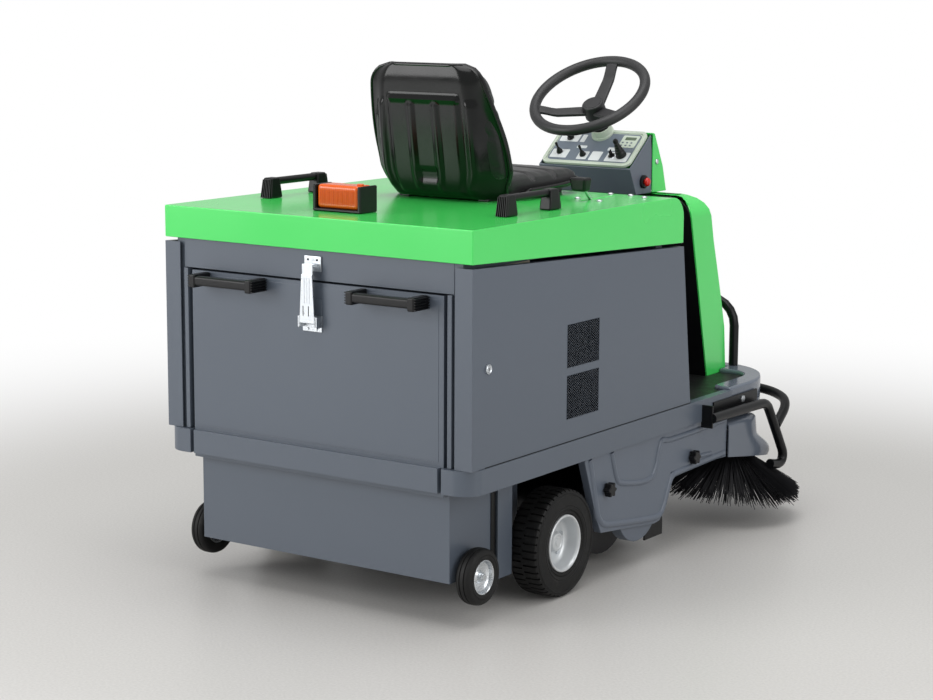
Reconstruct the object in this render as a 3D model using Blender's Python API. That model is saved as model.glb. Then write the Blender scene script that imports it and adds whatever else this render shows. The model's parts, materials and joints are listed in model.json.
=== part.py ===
"""Ride-on sweeper with a rear waste hopper and a side brush.

Metres, +X to the driver's right, +Y forward, +Z up. The pieces are modelled from the centre
plane, the rear face of the hood and the floor. place_origin() then puts the origin under the
centre of the whole machine, on the floor.
"""

import math

import bmesh
import bpy
from mathutils import Matrix, Quaternion, Vector

GAP = 0.0003  # between neighbours that touch

# Body and hood
BODY_HALF = 0.430
HOOD_LENGTH = 0.897
HOOD_TOP = 0.881
HOOD_SKIRT_REAR = 0.073
HOOD_SKIRT_FRONT = 0.113
HOOD_WALL = 0.004
HOOD_NOSE_RADIUS = 0.050

# Chassis
RAIL_HALF = BODY_HALF - 0.002
RAIL_TOP = 0.365
RAIL_HEIGHT = 0.055
RAIL_BOTTOM = RAIL_TOP - RAIL_HEIGHT
RAIL_DEPTH = 0.018
RAIL_REAR = -0.008
RAIL_FRONT = 1.160
RAIL_CORNER = 0.045
CROSS_HEIGHT = 0.030
CROSS_BOTTOM = RAIL_TOP - CROSS_HEIGHT
DECK_TOP = CROSS_BOTTOM + 0.015
DECK_FRONT = 1.440
CORNER_GAP_HALF = BODY_HALF - 0.074  # half the opening between the rail's rear corners
WRAP_HALF = BODY_HALF - 0.045  # where the doors' rear wraps start

# Body frame
POST_HALF = BODY_HALF - 0.030  # outer face of the posts
POST_WIDTH = 0.024
FRAME_TOP = HOOD_TOP - HOOD_WALL - GAP
FRAME_RAIL = 0.087
CROSSBAR_BOTTOM = 0.741
BULKHEAD_TOP_Y = 0.880
BULKHEAD_FOOT_Y = 0.934
BULKHEAD_WALL = 0.006

# Doors
DOOR_SKIN = 0.0025
DOOR_DEPTH = 0.016
DOOR_FACE = BODY_HALF - 0.0005
DOOR_GAP_TOP = 0.009
DOOR_FOOT_Y = 0.949
DOOR_AXIS_Y = HOOD_LENGTH + 0.003
VENT_Y = (0.380, 0.505)
VENT_ROWS = ((0.423, 0.517), (0.540, 0.633))
LOCK_Y = 0.059
LOCK_Z = 0.580

# Hopper
HOPPER_HALF = BODY_HALF - 0.078
HOPPER_FRONT_Y = 0.270
HOPPER_BOTTOM = 0.102
HOPPER_TOP = 0.700
HOPPER_WALL = 0.004
PANEL_HALF = HOPPER_HALF + 0.0015
PANEL_TOP = CROSSBAR_BOTTOM - 0.0045
HOPPER_WHEEL_RADIUS = 0.0636
HOPPER_WHEEL_Y = 0.096
HOPPER_WHEEL_Z = 0.110
HOPPER_WHEEL_WIDTH = 0.038
HOPPER_WHEEL_GAP = 0.010
HOPPER_HANDLE_X = 0.224
HOPPER_HANDLE_LENGTH = 0.190
HOPPER_HANDLE_Z = 0.720
LATCH_PIVOT = (-0.008, 0.650)
LATCH_HALF = 0.0225
LATCH_LIP_TOP = 0.774

# Wheels
REAR_WHEEL_RADIUS = 0.125
REAR_WHEEL_Y = 0.397
REAR_TYRE_WIDTH = 0.080
REAR_TYRE_OUTER = BODY_HALF - 0.010
RIM_RADIUS = 0.0665
AXLE_RADIUS = 0.012
RUNNING_GAP = 0.0005
FRONT_WHEEL_RADIUS = 0.100
FRONT_WHEEL_WIDTH = 0.060
FORK_Y = 1.250
FORK_TRAIL = 0.020
FORK_STEM_RADIUS = 0.020

# Main broom
BROOM_Y = 0.738
BROOM_RADIUS = 0.130
BROOM_Z = BROOM_RADIUS + 0.012
BROOM_HALF = 0.310
HOUSING_RADIUS = BROOM_RADIUS + 0.012
HOUSING_WALL = 0.004

# Side brush
BRUSH_X = 0.350
BRUSH_Y = 1.315
BRUSH_Z = 0.140
BRUSH_RADIUS = 0.200
BRUSH_TILT = math.radians(3.0)
COVER_TOP = 0.2815
COVER_WALL = 0.004
ARM_Y = 1.000
ARM_Z = 0.220

# Front end
MAT_TOP = DECK_TOP + 0.012
NOSE_TOP = DECK_TOP + 0.022
NOSE_BOTTOM = RAIL_BOTTOM - 0.010
NOSE_FRONT = 1.490
NOSE_CORNER = 0.130
HOOP_Y = 1.455
HOOP_HALF = 0.280
HOOP_TOP = 0.550
TUBE_RADIUS = 0.0125
SHIELD_HALF = 0.270
SHIELD_TOP = 0.845
SHIELD_WALL = 0.004
SHIELD_CORNER = 0.060
SHIELD_LEAN = 0.235  # run towards the front for each metre down
SHIELD_FOOT_Y = 1.327

# Dash and steering
DASH_TILT = math.radians(38.1)
DASH_LIP = Vector((0.0, 1.130, 0.920))
DASH_HALF = 0.134
DASH_DEPTH = 0.134
DASH_PANEL = 0.006
DASH_FRAME = Matrix.Translation(DASH_LIP) @ Matrix.Rotation(DASH_TILT, 4, "X")
COWL_HALF = 0.142
STEERING_TILT = math.radians(34.2)
STEERING_CENTRE = Vector((0.0, 1.1545, 1.097))
STEERING_AXIS = Vector((0.0, -math.sin(STEERING_TILT), math.cos(STEERING_TILT)))
STEERING_RADIUS = 0.163
STEERING_GRIP = 0.0125
SHAFT_RADIUS = 0.011
SHAFT_LENGTH = 0.170

# Seat
SEAT_Y = 0.470
SEAT_HALF = 0.184
SEAT_DEPTH = 0.370
SEAT_BASE_TOP = HOOD_TOP + 0.0113
SEAT_BACK_HEIGHT = 0.310
SEAT_BACK_LEAN = 0.040
PAN_THICKNESS = 0.022
SHELL_TOP = SEAT_BASE_TOP + GAP + PAN_THICKNESS

# Deck fittings
LEVER_X = 0.288
LEVER_Y = 0.715
LEVER_DROP = 0.018
LEVER_SLOT = 0.009
LEVER_ROD = 0.004
HANDLE_X = BODY_HALF - 0.095
HANDLE_FEET_Y = (0.270, 0.445)
BEACON_X = -0.0125
BEACON_Y = 0.1365

MATERIALS = {
    "green paint": ("#4EDC66", 0.30, 0.0),
    "grey paint": ("#5F6772", 0.40, 0.0),
    "grey plastic": ("#66707C", 0.50, 0.0),
    "black plastic": ("#17181B", 0.45, 0.0),
    "black rubber": ("#1B1B1D", 0.75, 0.0),
    "black steel": ("#141518", 0.35, 0.0),
    "vinyl": ("#1F2024", 0.50, 0.0),
    "pale plastic": ("#C6CEC0", 0.45, 0.0),
    "red plastic": ("#C62A20", 0.30, 0.0),
    "amber plastic": ("#F08A1E", 0.20, 0.0),
    "zinc steel": ("#C4C7CA", 0.30, 1.0),
    "silver paint": ("#C9CCCE", 0.35, 0.6),
    "bristle": ("#232326", 0.70, 0.0),
    "paper filter": ("#D8D2BF", 0.80, 0.0),
}


def clear_scene():
    for obj in list(bpy.data.objects):
        bpy.data.objects.remove(obj, do_unlink=True)


def linear(channel):
    if channel <= 0.04045:
        return channel / 12.92
    return ((channel + 0.055) / 1.055) ** 2.4


def material(name):
    if name in bpy.data.materials:
        return bpy.data.materials[name]
    code, roughness, metallic = MATERIALS[name]
    made = bpy.data.materials.new(name)
    made.use_nodes = True
    shader = made.node_tree.nodes["Principled BSDF"]
    rgb = [linear(int(code[i : i + 2], 16) / 255) for i in (1, 3, 5)]
    shader.inputs["Base Color"].default_value = (*rgb, 1.0)
    shader.inputs["Roughness"].default_value = roughness
    shader.inputs["Metallic"].default_value = metallic
    return made


def solid(name, points, faces, paint):
    """One object from points and faces, with its faces turned outwards."""
    mesh = bpy.data.meshes.new(name)
    mesh.from_pydata([tuple(point) for point in points], [], faces)
    shape = bmesh.new()
    shape.from_mesh(mesh)
    bmesh.ops.recalc_face_normals(shape, faces=shape.faces)
    shape.to_mesh(mesh)
    shape.free()
    mesh.materials.append(material(paint))
    obj = bpy.data.objects.new(name, mesh)
    bpy.context.collection.objects.link(obj)
    return obj


def prism(name, outline, axis, low, high, paint):
    """A flat outline carried along an axis: (y, z) along X, (x, z) along Y or (x, y) along Z."""
    place = {
        "X": lambda a, b, t: (t, a, b),
        "Y": lambda a, b, t: (a, t, b),
        "Z": lambda a, b, t: (a, b, t),
    }[axis]
    count = len(outline)
    points = [place(a, b, t) for t in (low, high) for a, b in outline]
    sides = [(i, (i + 1) % count, (i + 1) % count + count, i + count) for i in range(count)]
    caps = [tuple(range(count)), tuple(range(count, 2 * count))]
    return solid(name, points, sides + caps, paint)


def box(name, x, y, z, paint):
    outline = [(y[0], z[0]), (y[1], z[0]), (y[1], z[1]), (y[0], z[1])]
    return prism(name, outline, "X", x[0], x[1], paint)


def arc(centre, radius, start, stop, steps):
    """Points on an arc in a plane, from start to stop in degrees."""
    angles = [math.radians(start + (stop - start) * i / steps) for i in range(steps + 1)]
    return [(centre[0] + radius * math.cos(a), centre[1] + radius * math.sin(a)) for a in angles]


def frame_along(axis):
    """Rotation that takes +Z to the axis."""
    return Vector((0, 0, 1)).rotation_difference(Vector(axis)).to_matrix().to_4x4()


def turned(name, profile, centre, axis, paint, steps=32):
    """A closed (radius, height) profile turned round an axis through the centre."""
    points = []
    rings = []
    for radius, height in profile:
        if radius < 1e-6:
            rings.append([len(points)] * steps)
            points.append(Vector((0, 0, height)))
            continue
        rings.append([len(points) + i for i in range(steps)])
        for i in range(steps):
            angle = math.tau * i / steps
            points.append(Vector((radius * math.cos(angle), radius * math.sin(angle), height)))
    faces = []
    for ring, after in zip(rings, rings[1:] + rings[:1]):
        if ring[0] == ring[1] and after[0] == after[1]:
            continue
        for i in range(steps):
            j = (i + 1) % steps
            face = [ring[i], ring[j], after[j], after[i]]
            faces.append(tuple(dict.fromkeys(face)))
    obj = solid(name, points, faces, paint)
    obj.data.transform(Matrix.Translation(Vector(centre)) @ frame_along(axis))
    return obj


def rod(name, start, end, radius, paint, steps=16):
    span = Vector(end) - Vector(start)
    profile = [(0, 0), (radius, 0), (radius, span.length), (0, span.length)]
    return turned(name, profile, start, span.normalized(), paint, steps)


def ball(name, centre, radius, paint):
    profile = [(radius * math.sin(math.pi * i / 8), -radius * math.cos(math.pi * i / 8)) for i in range(9)]
    profile[0] = (0, -radius)
    profile[-1] = (0, radius)
    return turned(name, profile, centre, (0, 0, 1), paint, 16)


def rounded_path(points, radius, steps=5):
    """The same path with each inner corner replaced by a bend of the radius."""
    points = [Vector(point) for point in points]
    path = [points[0]]
    for before, corner, after in zip(points, points[1:], points[2:]):
        first = (before - corner).normalized()
        second = (after - corner).normalized()
        half = first.angle(second) / 2
        reach = min(radius / math.tan(half), 0.45 * (before - corner).length, 0.45 * (after - corner).length)
        middle = corner + (first + second).normalized() * reach / math.cos(half)
        start = corner + first * reach - middle
        stop = corner + second * reach - middle
        turn = start.rotation_difference(stop)
        path += [middle + Quaternion(turn.axis, turn.angle * i / steps) @ start for i in range(steps + 1)]
    return path + [points[-1]]


def tube(name, points, radius, bend, paint, sides=12):
    """A round bar along a path with bends."""
    path = rounded_path(points, bend)
    rings = []
    side = None
    for i, point in enumerate(path):
        ahead = path[min(i + 1, len(path) - 1)] - path[max(i - 1, 0)]
        ahead.normalize()
        if side is None:
            side = ahead.orthogonal().normalized()
        side = (side - ahead * side.dot(ahead)).normalized()
        up = ahead.cross(side)
        angles = [math.tau * k / sides for k in range(sides)]
        rings.append([point + radius * (side * math.cos(a) + up * math.sin(a)) for a in angles])
    points = [point for ring in rings for point in ring]
    faces = [tuple(range(sides)), tuple(range(len(points) - sides, len(points)))]
    for ring in range(len(rings) - 1):
        for k in range(sides):
            here = ring * sides
            following = (k + 1) % sides
            faces.append((here + k, here + following, here + sides + following, here + sides + k))
    return solid(name, points, faces, paint)


def hide(obj):
    obj.hide_render = True
    obj.display_type = "WIRE"


def combine(body, operation, pieces):
    for piece in pieces:
        modifier = body.modifiers.new(operation.title(), "BOOLEAN")
        modifier.operation = operation
        modifier.object = piece
        hide(piece)
    return body


def join(body, *pieces):
    return combine(body, "UNION", pieces)


def cut(body, *pieces):
    return combine(body, "DIFFERENCE", pieces)


def set_axis(obj, point):
    """Puts the object's origin on its joint, with the shape where it was."""
    obj.data.transform(Matrix.Translation(-Vector(point)))
    obj.location = point


def chassis():
    paint = "grey paint"
    pieces = []
    for side in (1, -1):
        corner = (RAIL_HALF - RAIL_CORNER, RAIL_REAR + RAIL_CORNER)
        outline = [(CORNER_GAP_HALF, RAIL_REAR)]
        outline += arc(corner, RAIL_CORNER, -90, 0, 6)
        outline += [(RAIL_HALF, RAIL_FRONT), (RAIL_HALF - RAIL_DEPTH, RAIL_FRONT)]
        outline += arc(corner, RAIL_CORNER - RAIL_DEPTH, 0, -90, 4)
        outline += [(CORNER_GAP_HALF, RAIL_REAR + RAIL_DEPTH)]
        outline = [(side * x, y) for x, y in outline]
        pieces.append(prism(f"rail_{side}", outline, "Z", RAIL_BOTTOM, RAIL_TOP, paint))
        pieces.append(span_box(side, (CORNER_GAP_HALF + 0.001, RAIL_HALF - 0.012), (0.008, 0.050),
                               (CROSS_BOTTOM, RAIL_TOP - 0.0002), paint))
        pieces.append(span_box(side, (HOPPER_HALF + 0.0008, RAIL_HALF - 0.006), (0.035, 0.300),
                               (RAIL_BOTTOM - 0.0035, RAIL_BOTTOM + 0.0005), paint))
        pieces.append(span_box(side, (HOPPER_HALF + 0.004, HOPPER_HALF + 0.008), (0.205, 0.262),
                               (0.075, RAIL_BOTTOM - 0.001), paint))
        pieces.append(span_box(side, (0.247, 0.253), (0.367, 0.445),
                               (REAR_WHEEL_RADIUS - 0.028, CROSS_BOTTOM + 0.005), paint))
    inner = RAIL_HALF - RAIL_DEPTH + 0.004
    for low, high in ((0.290, 0.320), (0.425, 0.455), (0.470, 0.530), (0.700, 0.776), (0.815, 0.895)):
        pieces.append(box("crossmember", (-inner, inner), (low, high), (CROSS_BOTTOM, RAIL_TOP - 0.0001), paint))
    corner = (inner - NOSE_CORNER, DECK_FRONT - NOSE_CORNER)
    edge = [(inner, 0.905)] + arc(corner, NOSE_CORNER, 0, 90, 6)
    deck = edge + [(-x, y) for x, y in reversed(edge)]
    pieces.append(prism("deck_plate", deck, "Z", CROSS_BOTTOM, DECK_TOP, paint))
    pieces.append(rod("fork_boss", (0, FORK_Y, 0.2353), (0, FORK_Y, CROSS_BOTTOM + 0.002), 0.036, paint, 24))
    for x in (BRUSH_X - 0.032, BRUSH_X + 0.026):
        pieces.append(box("arm_ear", (x, x + 0.006), (ARM_Y - 0.02, ARM_Y + 0.02),
                          (ARM_Z - 0.017, CROSS_BOTTOM + 0.002), paint))
    pieces.append(rod("arm_pin", (BRUSH_X - 0.030, ARM_Y, ARM_Z), (BRUSH_X + 0.030, ARM_Y, ARM_Z), 0.006, paint))
    frame = pieces[0]
    frame.name = frame.data.name = "chassis_frame"
    join(frame, *pieces[1:])
    holes = [rod("axle_bore", (-0.3, REAR_WHEEL_Y, REAR_WHEEL_RADIUS), (0.3, REAR_WHEEL_Y, REAR_WHEEL_RADIUS),
                 AXLE_RADIUS + RUNNING_GAP, paint, 24),
             rod("fork_bore", (0, FORK_Y, 0.2), (0, FORK_Y, 0.4), FORK_STEM_RADIUS + RUNNING_GAP, paint, 20)]
    cut(frame, *holes)


def span_box(side, x, y, z, paint, name="mirrored"):
    """A box given for the right side, on the side asked for."""
    span = (x[0], x[1]) if side > 0 else (-x[1], -x[0])
    return box(name, span, y, z, paint)


def hood_lip(y):
    """Height of the hood's lower edge at y."""
    rear = HOOD_TOP - HOOD_SKIRT_REAR
    return rear + (HOOD_SKIRT_REAR - HOOD_SKIRT_FRONT) * y / HOOD_LENGTH


def body_frame():
    paint = "grey paint"
    inner = POST_HALF - POST_WIDTH
    pieces = [box("body_frame", (-inner - 0.002, inner + 0.002), (0.008, 0.030), (CROSSBAR_BOTTOM, FRAME_TOP), paint)]
    for side in (1, -1):
        for y in ((0.010, 0.042), (0.815, 0.844)):
            pieces.append(span_box(side, (inner, POST_HALF), y, (RAIL_TOP + GAP, FRAME_TOP - 0.001), paint))
        pieces.append(span_box(side, (inner, POST_HALF), (0.009, 0.845), (FRAME_TOP - FRAME_RAIL, FRAME_TOP), paint))
    pieces.append(box("front_bar", (-inner - 0.002, inner + 0.002), (0.835, 0.884), (0.800, 0.848), paint))
    waist, foot = hood_lip(HOOD_LENGTH) - 0.010, DECK_TOP + GAP
    sheet = [(BULKHEAD_TOP_Y, 0.846), (BULKHEAD_TOP_Y + BULKHEAD_WALL, 0.846),
             (BULKHEAD_TOP_Y + BULKHEAD_WALL, waist), (BULKHEAD_FOOT_Y + BULKHEAD_WALL, foot),
             (BULKHEAD_FOOT_Y, foot), (BULKHEAD_TOP_Y, waist)]
    pieces.append(prism("bulkhead", sheet, "X", -inner + 0.002, inner - 0.002, paint))
    lip = box("keeper_lip", (-0.012, 0.012), (-0.010, 0.010), (LATCH_LIP_TOP - 0.004, LATCH_LIP_TOP), paint)
    plate = box("keeper_plate", (-0.021, 0.021), (0.005, 0.010), (0.752, 0.792), paint)
    join(pieces[0], *pieces[1:], lip, plate)


def hood():
    paint = "green paint"
    radius = HOOD_NOSE_RADIUS

    def profile(inset, lift):
        nose = (HOOD_LENGTH - radius, HOOD_TOP - radius)
        rear, front = inset, HOOD_LENGTH - inset
        return ([(rear, hood_lip(0) - lift), (rear, HOOD_TOP - inset)]
                + arc(nose, radius - inset, 90, 0, 6)
                + [(front, hood_lip(HOOD_LENGTH) - lift)])

    shell = prism("hood", profile(0, 0), "X", -BODY_HALF, BODY_HALF, paint)
    inside = prism("hood_inside", profile(HOOD_WALL, 0.05), "X",
                   -BODY_HALF + HOOD_WALL, BODY_HALF - HOOD_WALL, paint)
    slot = box("lever_slot", (LEVER_X - LEVER_SLOT / 2, LEVER_X + LEVER_SLOT / 2), (0.655, 0.805),
               (HOOD_TOP - 0.02, HOOD_TOP + 0.02), paint)
    cut(shell, inside, slot)


def doors():
    paint = "grey paint"
    bottom = RAIL_TOP + 0.0006
    for side, name in ((1, "door_right"), (-1, "door_left")):

        def outline(inset):
            top_front = (HOOD_LENGTH + 0.003 - inset, hood_lip(HOOD_LENGTH) - DOOR_GAP_TOP - inset)
            return [(inset, bottom + inset), (DOOR_FOOT_Y - inset, bottom + inset), top_front,
                    (inset, hood_lip(0) - DOOR_GAP_TOP - inset)]

        low, high = DOOR_FACE - DOOR_DEPTH, DOOR_FACE
        span = (low, high) if side > 0 else (-high, -low)
        pan = prism(name, outline(0), "X", *span, paint)
        span = (low - 0.01, high - DOOR_SKIN) if side > 0 else (-high + DOOR_SKIN, -low + 0.01)
        hollow = prism(f"{name}_hollow", outline(DOOR_SKIN), "X", *span, paint)
        wrap = span_box(side, (WRAP_HALF, DOOR_FACE - 0.001), (0, DOOR_SKIN),
                        (bottom, hood_lip(0) - DOOR_GAP_TOP), paint)
        vents = []
        for low, high in VENT_ROWS:
            pitch = (high - low) / 4
            for row in range(4):
                slat = low + row * pitch
                vents.append(span_box(side, (DOOR_FACE - 0.01, DOOR_FACE + 0.01), VENT_Y,
                                      (slat, slat + 0.6 * pitch), paint))
        cut(pan, hollow, *vents)
        join(pan, wrap)
        set_axis(pan, (side * (DOOR_FACE - 0.001), DOOR_AXIS_Y, bottom))
        lock_name = name.replace("door", "door_lock")
        face = side * (DOOR_FACE + GAP)
        lock = turned(lock_name, [(0, 0), (0.011, 0), (0.011, 0.003), (0.009, 0.0045), (0, 0.0045)],
                      (face, LOCK_Y, LOCK_Z), (side, 0, 0), "zinc steel", 20)
        set_axis(lock, (face, LOCK_Y, LOCK_Z))


def hopper():
    paint = "grey paint"
    half, wall = HOPPER_HALF, HOPPER_WALL
    tub = box("hopper_bin", (-half, half), (0.030, HOPPER_FRONT_Y), (HOPPER_BOTTOM, HOPPER_TOP), paint)
    inside = box("hopper_inside", (-half + wall, half - wall), (0.030 + wall, HOPPER_FRONT_Y - wall),
                 (HOPPER_BOTTOM + wall, HOPPER_TOP + 0.05), paint)
    mouth = box("hopper_mouth", (-half + 0.03, half - 0.03), (HOPPER_FRONT_Y - 0.02, HOPPER_FRONT_Y + 0.02),
                (HOPPER_BOTTOM + 0.05, RAIL_BOTTOM - 0.02), paint)
    panel = box("hopper_panel", (-PANEL_HALF, PANEL_HALF), (0.005, 0.0315), (0.300, PANEL_TOP), paint)
    band = box("hopper_band", (-CORNER_GAP_HALF + 0.010, CORNER_GAP_HALF - 0.010), (RAIL_REAR, 0.0315),
               (RAIL_BOTTOM, RAIL_TOP), paint)
    pieces = [panel, band]
    for side in (1, -1):
        pieces.append(span_box(side, (half - 0.002, CORNER_GAP_HALF - 0.0006), (0.036, HOPPER_FRONT_Y),
                               (RAIL_BOTTOM + 0.0008, RAIL_BOTTOM + 0.005), paint))
        start = (side * (half - 0.002), HOPPER_WHEEL_Y, HOPPER_WHEEL_Z)
        end = (side * (half + HOPPER_WHEEL_GAP + HOPPER_WHEEL_WIDTH - 0.004), HOPPER_WHEEL_Y, HOPPER_WHEEL_Z)
        pieces.append(rod("hopper_stub", start, end, 0.006, paint, 20))
        wheel_name = "hopper_wheel_right" if side > 0 else "hopper_wheel_left"
        hopper_wheel(wheel_name, side)
        pieces.append(span_box(side, (LATCH_HALF + 0.0008, LATCH_HALF + 0.0038), (-0.016, 0.006),
                               (0.638, 0.662), paint))
    pieces.append(box("latch_plate", (-LATCH_HALF - 0.0038, LATCH_HALF + 0.0038), (0.002, 0.006),
                      (0.628, 0.700), paint))
    cut(tub, inside, mouth)
    join(tub, *pieces)
    for side, name in ((-1, "hopper_handle_left"), (1, "hopper_handle_right")):
        hopper_handle(name, side * HOPPER_HANDLE_X)
    latch()


def hopper_wheel(name, side):
    """A solid wheel on a stub: its bore is blind, and the outer face is the hub cap."""
    radius, width = HOPPER_WHEEL_RADIUS, HOPPER_WHEEL_WIDTH
    bore = 0.006 + RUNNING_GAP
    profile = [(bore, 0), (0.016, 0), (0.016, 0.004), (0.036, 0.004), (0.038, 0.0), (radius - 0.006, 0.0),
               (radius, 0.006), (radius, width - 0.006), (radius - 0.006, width), (0.038, width),
               (0.036, width - 0.005), (0.014, width - 0.005), (0.012, width), (0, width),
               (0, width - 0.0035), (bore, width - 0.0035)]
    centre = (side * (HOPPER_HALF + HOPPER_WHEEL_GAP), HOPPER_WHEEL_Y, HOPPER_WHEEL_Z)
    wheel = turned(name, profile, centre, (side, 0, 0), "black rubber", 32)
    set_axis(wheel, centre)


def hopper_handle(name, x):
    half = HOPPER_HANDLE_LENGTH / 2
    grip = box(name, (x - half, x + half), (-0.050, -0.030), (HOPPER_HANDLE_Z - 0.010, HOPPER_HANDLE_Z + 0.012),
               "black plastic")
    for side in (1, -1):
        end = sorted((x + side * half, x + side * (half - 0.022)))
        foot = box(f"{name}_foot", end, (-0.052, 0.005 - GAP),
                   (HOPPER_HANDLE_Z - 0.015, HOPPER_HANDLE_Z + 0.015), "black plastic")
        join(grip, foot)


def latch():
    y, z = LATCH_PIVOT
    lever = box("latch_lever", (-LATCH_HALF, LATCH_HALF), (-0.018, -0.0145), (z - 0.002, 0.765), "zinc steel")
    barrel = rod("latch_barrel", (-LATCH_HALF, y, z), (LATCH_HALF, y, z), 0.005, "zinc steel", 12)
    web = box("latch_web", (-LATCH_HALF, LATCH_HALF), (-0.0165, y), (z - 0.003, z + 0.004), "zinc steel")
    bar = box("latch_bail", (-0.0170, 0.0170), (-0.0080, -0.0040),
              (LATCH_LIP_TOP + GAP, LATCH_LIP_TOP + 0.0045), "zinc steel")
    links = [span_box(side, (0.0130, 0.0170), (-0.0150, -0.0040), (0.735, LATCH_LIP_TOP + 0.0045), "zinc steel")
             for side in (1, -1)]
    join(lever, barrel, web, *links, bar)
    set_axis(lever, (0, y, z))


def rear_wheels():
    axle_end = REAR_TYRE_OUTER - 0.026
    centre_z = REAR_WHEEL_RADIUS
    axle = rod("rear_axle", (-axle_end, REAR_WHEEL_Y, centre_z), (axle_end, REAR_WHEEL_Y, centre_z),
               AXLE_RADIUS, "zinc steel", 24)
    set_axis(axle, (0, REAR_WHEEL_Y, centre_z))
    for side, word in ((1, "right"), (-1, "left")):
        centre = (side * (REAR_TYRE_OUTER - REAR_TYRE_WIDTH), REAR_WHEEL_Y, centre_z)
        width, radius = REAR_TYRE_WIDTH, REAR_WHEEL_RADIUS
        tread = [(RIM_RADIUS + GAP, 0.006), (0.090, 0.0), (0.112, 0.003), (radius - 0.002, 0.012),
                 (radius, 0.020), (radius, width - 0.020), (radius - 0.002, width - 0.012),
                 (0.112, width - 0.003), (0.090, width), (RIM_RADIUS + GAP, width - 0.006)]
        tyre = turned(f"rear_tyre_{word}", tread, centre, (side, 0, 0), "black rubber", 48)
        bore = AXLE_RADIUS + RUNNING_GAP
        disc = [(bore, 0.004), (0.026, 0.004), (0.026, 0.040), (0.060, 0.044), (0.060, 0.007),
                (RIM_RADIUS, 0.007), (RIM_RADIUS, width - 0.007), (0.0636, width - 0.003),
                (0.060, width - 0.008), (0.060, 0.050), (0.026, 0.046), (0.022, width - 0.022),
                (0, width - 0.022), (0, width - 0.0255), (bore, width - 0.0255)]
        rim = turned(f"rear_rim_{word}", disc, centre, (side, 0, 0), "silver paint", 40)
        for piece in (tyre, rim):
            set_axis(piece, centre)


def front_wheel():
    wheel_y = FORK_Y - FORK_TRAIL
    centre = (0, wheel_y, FRONT_WHEEL_RADIUS)
    half, radius = FRONT_WHEEL_WIDTH / 2, FRONT_WHEEL_RADIUS
    bore = 0.0085
    profile = [(bore, -half), (0.05, -half + 0.004), (radius - 0.012, -half), (radius, -half + 0.012),
               (radius, half - 0.012), (radius - 0.012, half), (0.05, half - 0.004), (bore, half)]
    wheel = turned("front_wheel", profile, centre, (1, 0, 0), "black rubber", 40)
    set_axis(wheel, centre)
    crown = box("front_fork", (-0.045, 0.045), (wheel_y - 0.022, FORK_Y + 0.030), (0.213, 0.2350), "black steel")
    legs = [span_box(side, (half + 0.004, half + 0.012), (wheel_y - 0.020, wheel_y + 0.020),
                     (0.080, 0.225), "black steel") for side in (1, -1)]
    axle = rod("fork_axle", (-half - 0.006, wheel_y, FRONT_WHEEL_RADIUS),
               (half + 0.006, wheel_y, FRONT_WHEEL_RADIUS), 0.008, "black steel", 20)
    stem = rod("fork_stem", (0, FORK_Y, 0.225), (0, FORK_Y, DECK_TOP), FORK_STEM_RADIUS, "black steel", 24)
    join(crown, *legs, axle, stem)
    set_axis(crown, (0, FORK_Y, 0.235))


def main_broom():
    centre = (0, BROOM_Y, BROOM_Z)
    end, half = BROOM_HALF + 0.0295, BROOM_HALF
    profile = [(0, -end), (AXLE_RADIUS, -end), (AXLE_RADIUS, -half - 0.008), (0.045, -half - 0.008), (0.045, -half),
               (BROOM_RADIUS, -half), (BROOM_RADIUS, half), (0.045, half), (0.045, half + 0.008),
               (AXLE_RADIUS, half + 0.008), (AXLE_RADIUS, end), (0, end)]
    broom = turned("main_broom", profile, centre, (1, 0, 0), "bristle", 32)
    set_axis(broom, centre)
    outer = HOUSING_RADIUS + HOUSING_WALL
    band = arc((BROOM_Y, BROOM_Z), outer, -20, 200, 18)
    band += arc((BROOM_Y, BROOM_Z), HOUSING_RADIUS, 200, -20, 18)
    plate_x = BROOM_HALF + 0.016
    housing = prism("broom_housing", band, "X", -plate_x - 0.002, plate_x + 0.002, "black steel")
    full = arc((BROOM_Y, BROOM_Z), outer - 0.001, -20, 200, 18)
    for side in (1, -1):
        span = (plate_x, plate_x + 0.004) if side > 0 else (-plate_x - 0.004, -plate_x)
        cheek = prism("housing_cheek", full, "X", *span, "black steel")
        lug = span_box(side, (0.190, 0.230), (BROOM_Y - 0.030, BROOM_Y + 0.030),
                       (BROOM_Z + outer - 0.005, CROSS_BOTTOM - GAP), "black steel")
        join(housing, cheek, lug)
    bore = rod("broom_bore", (-0.4, BROOM_Y, BROOM_Z), (0.4, BROOM_Y, BROOM_Z),
               AXLE_RADIUS + RUNNING_GAP, "black steel", 24)
    cut(housing, bore)
    box("broom_flap", (-0.325, 0.325), (0.895, 0.899), (0.040, CROSS_BOTTOM - GAP), "black rubber")


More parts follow.
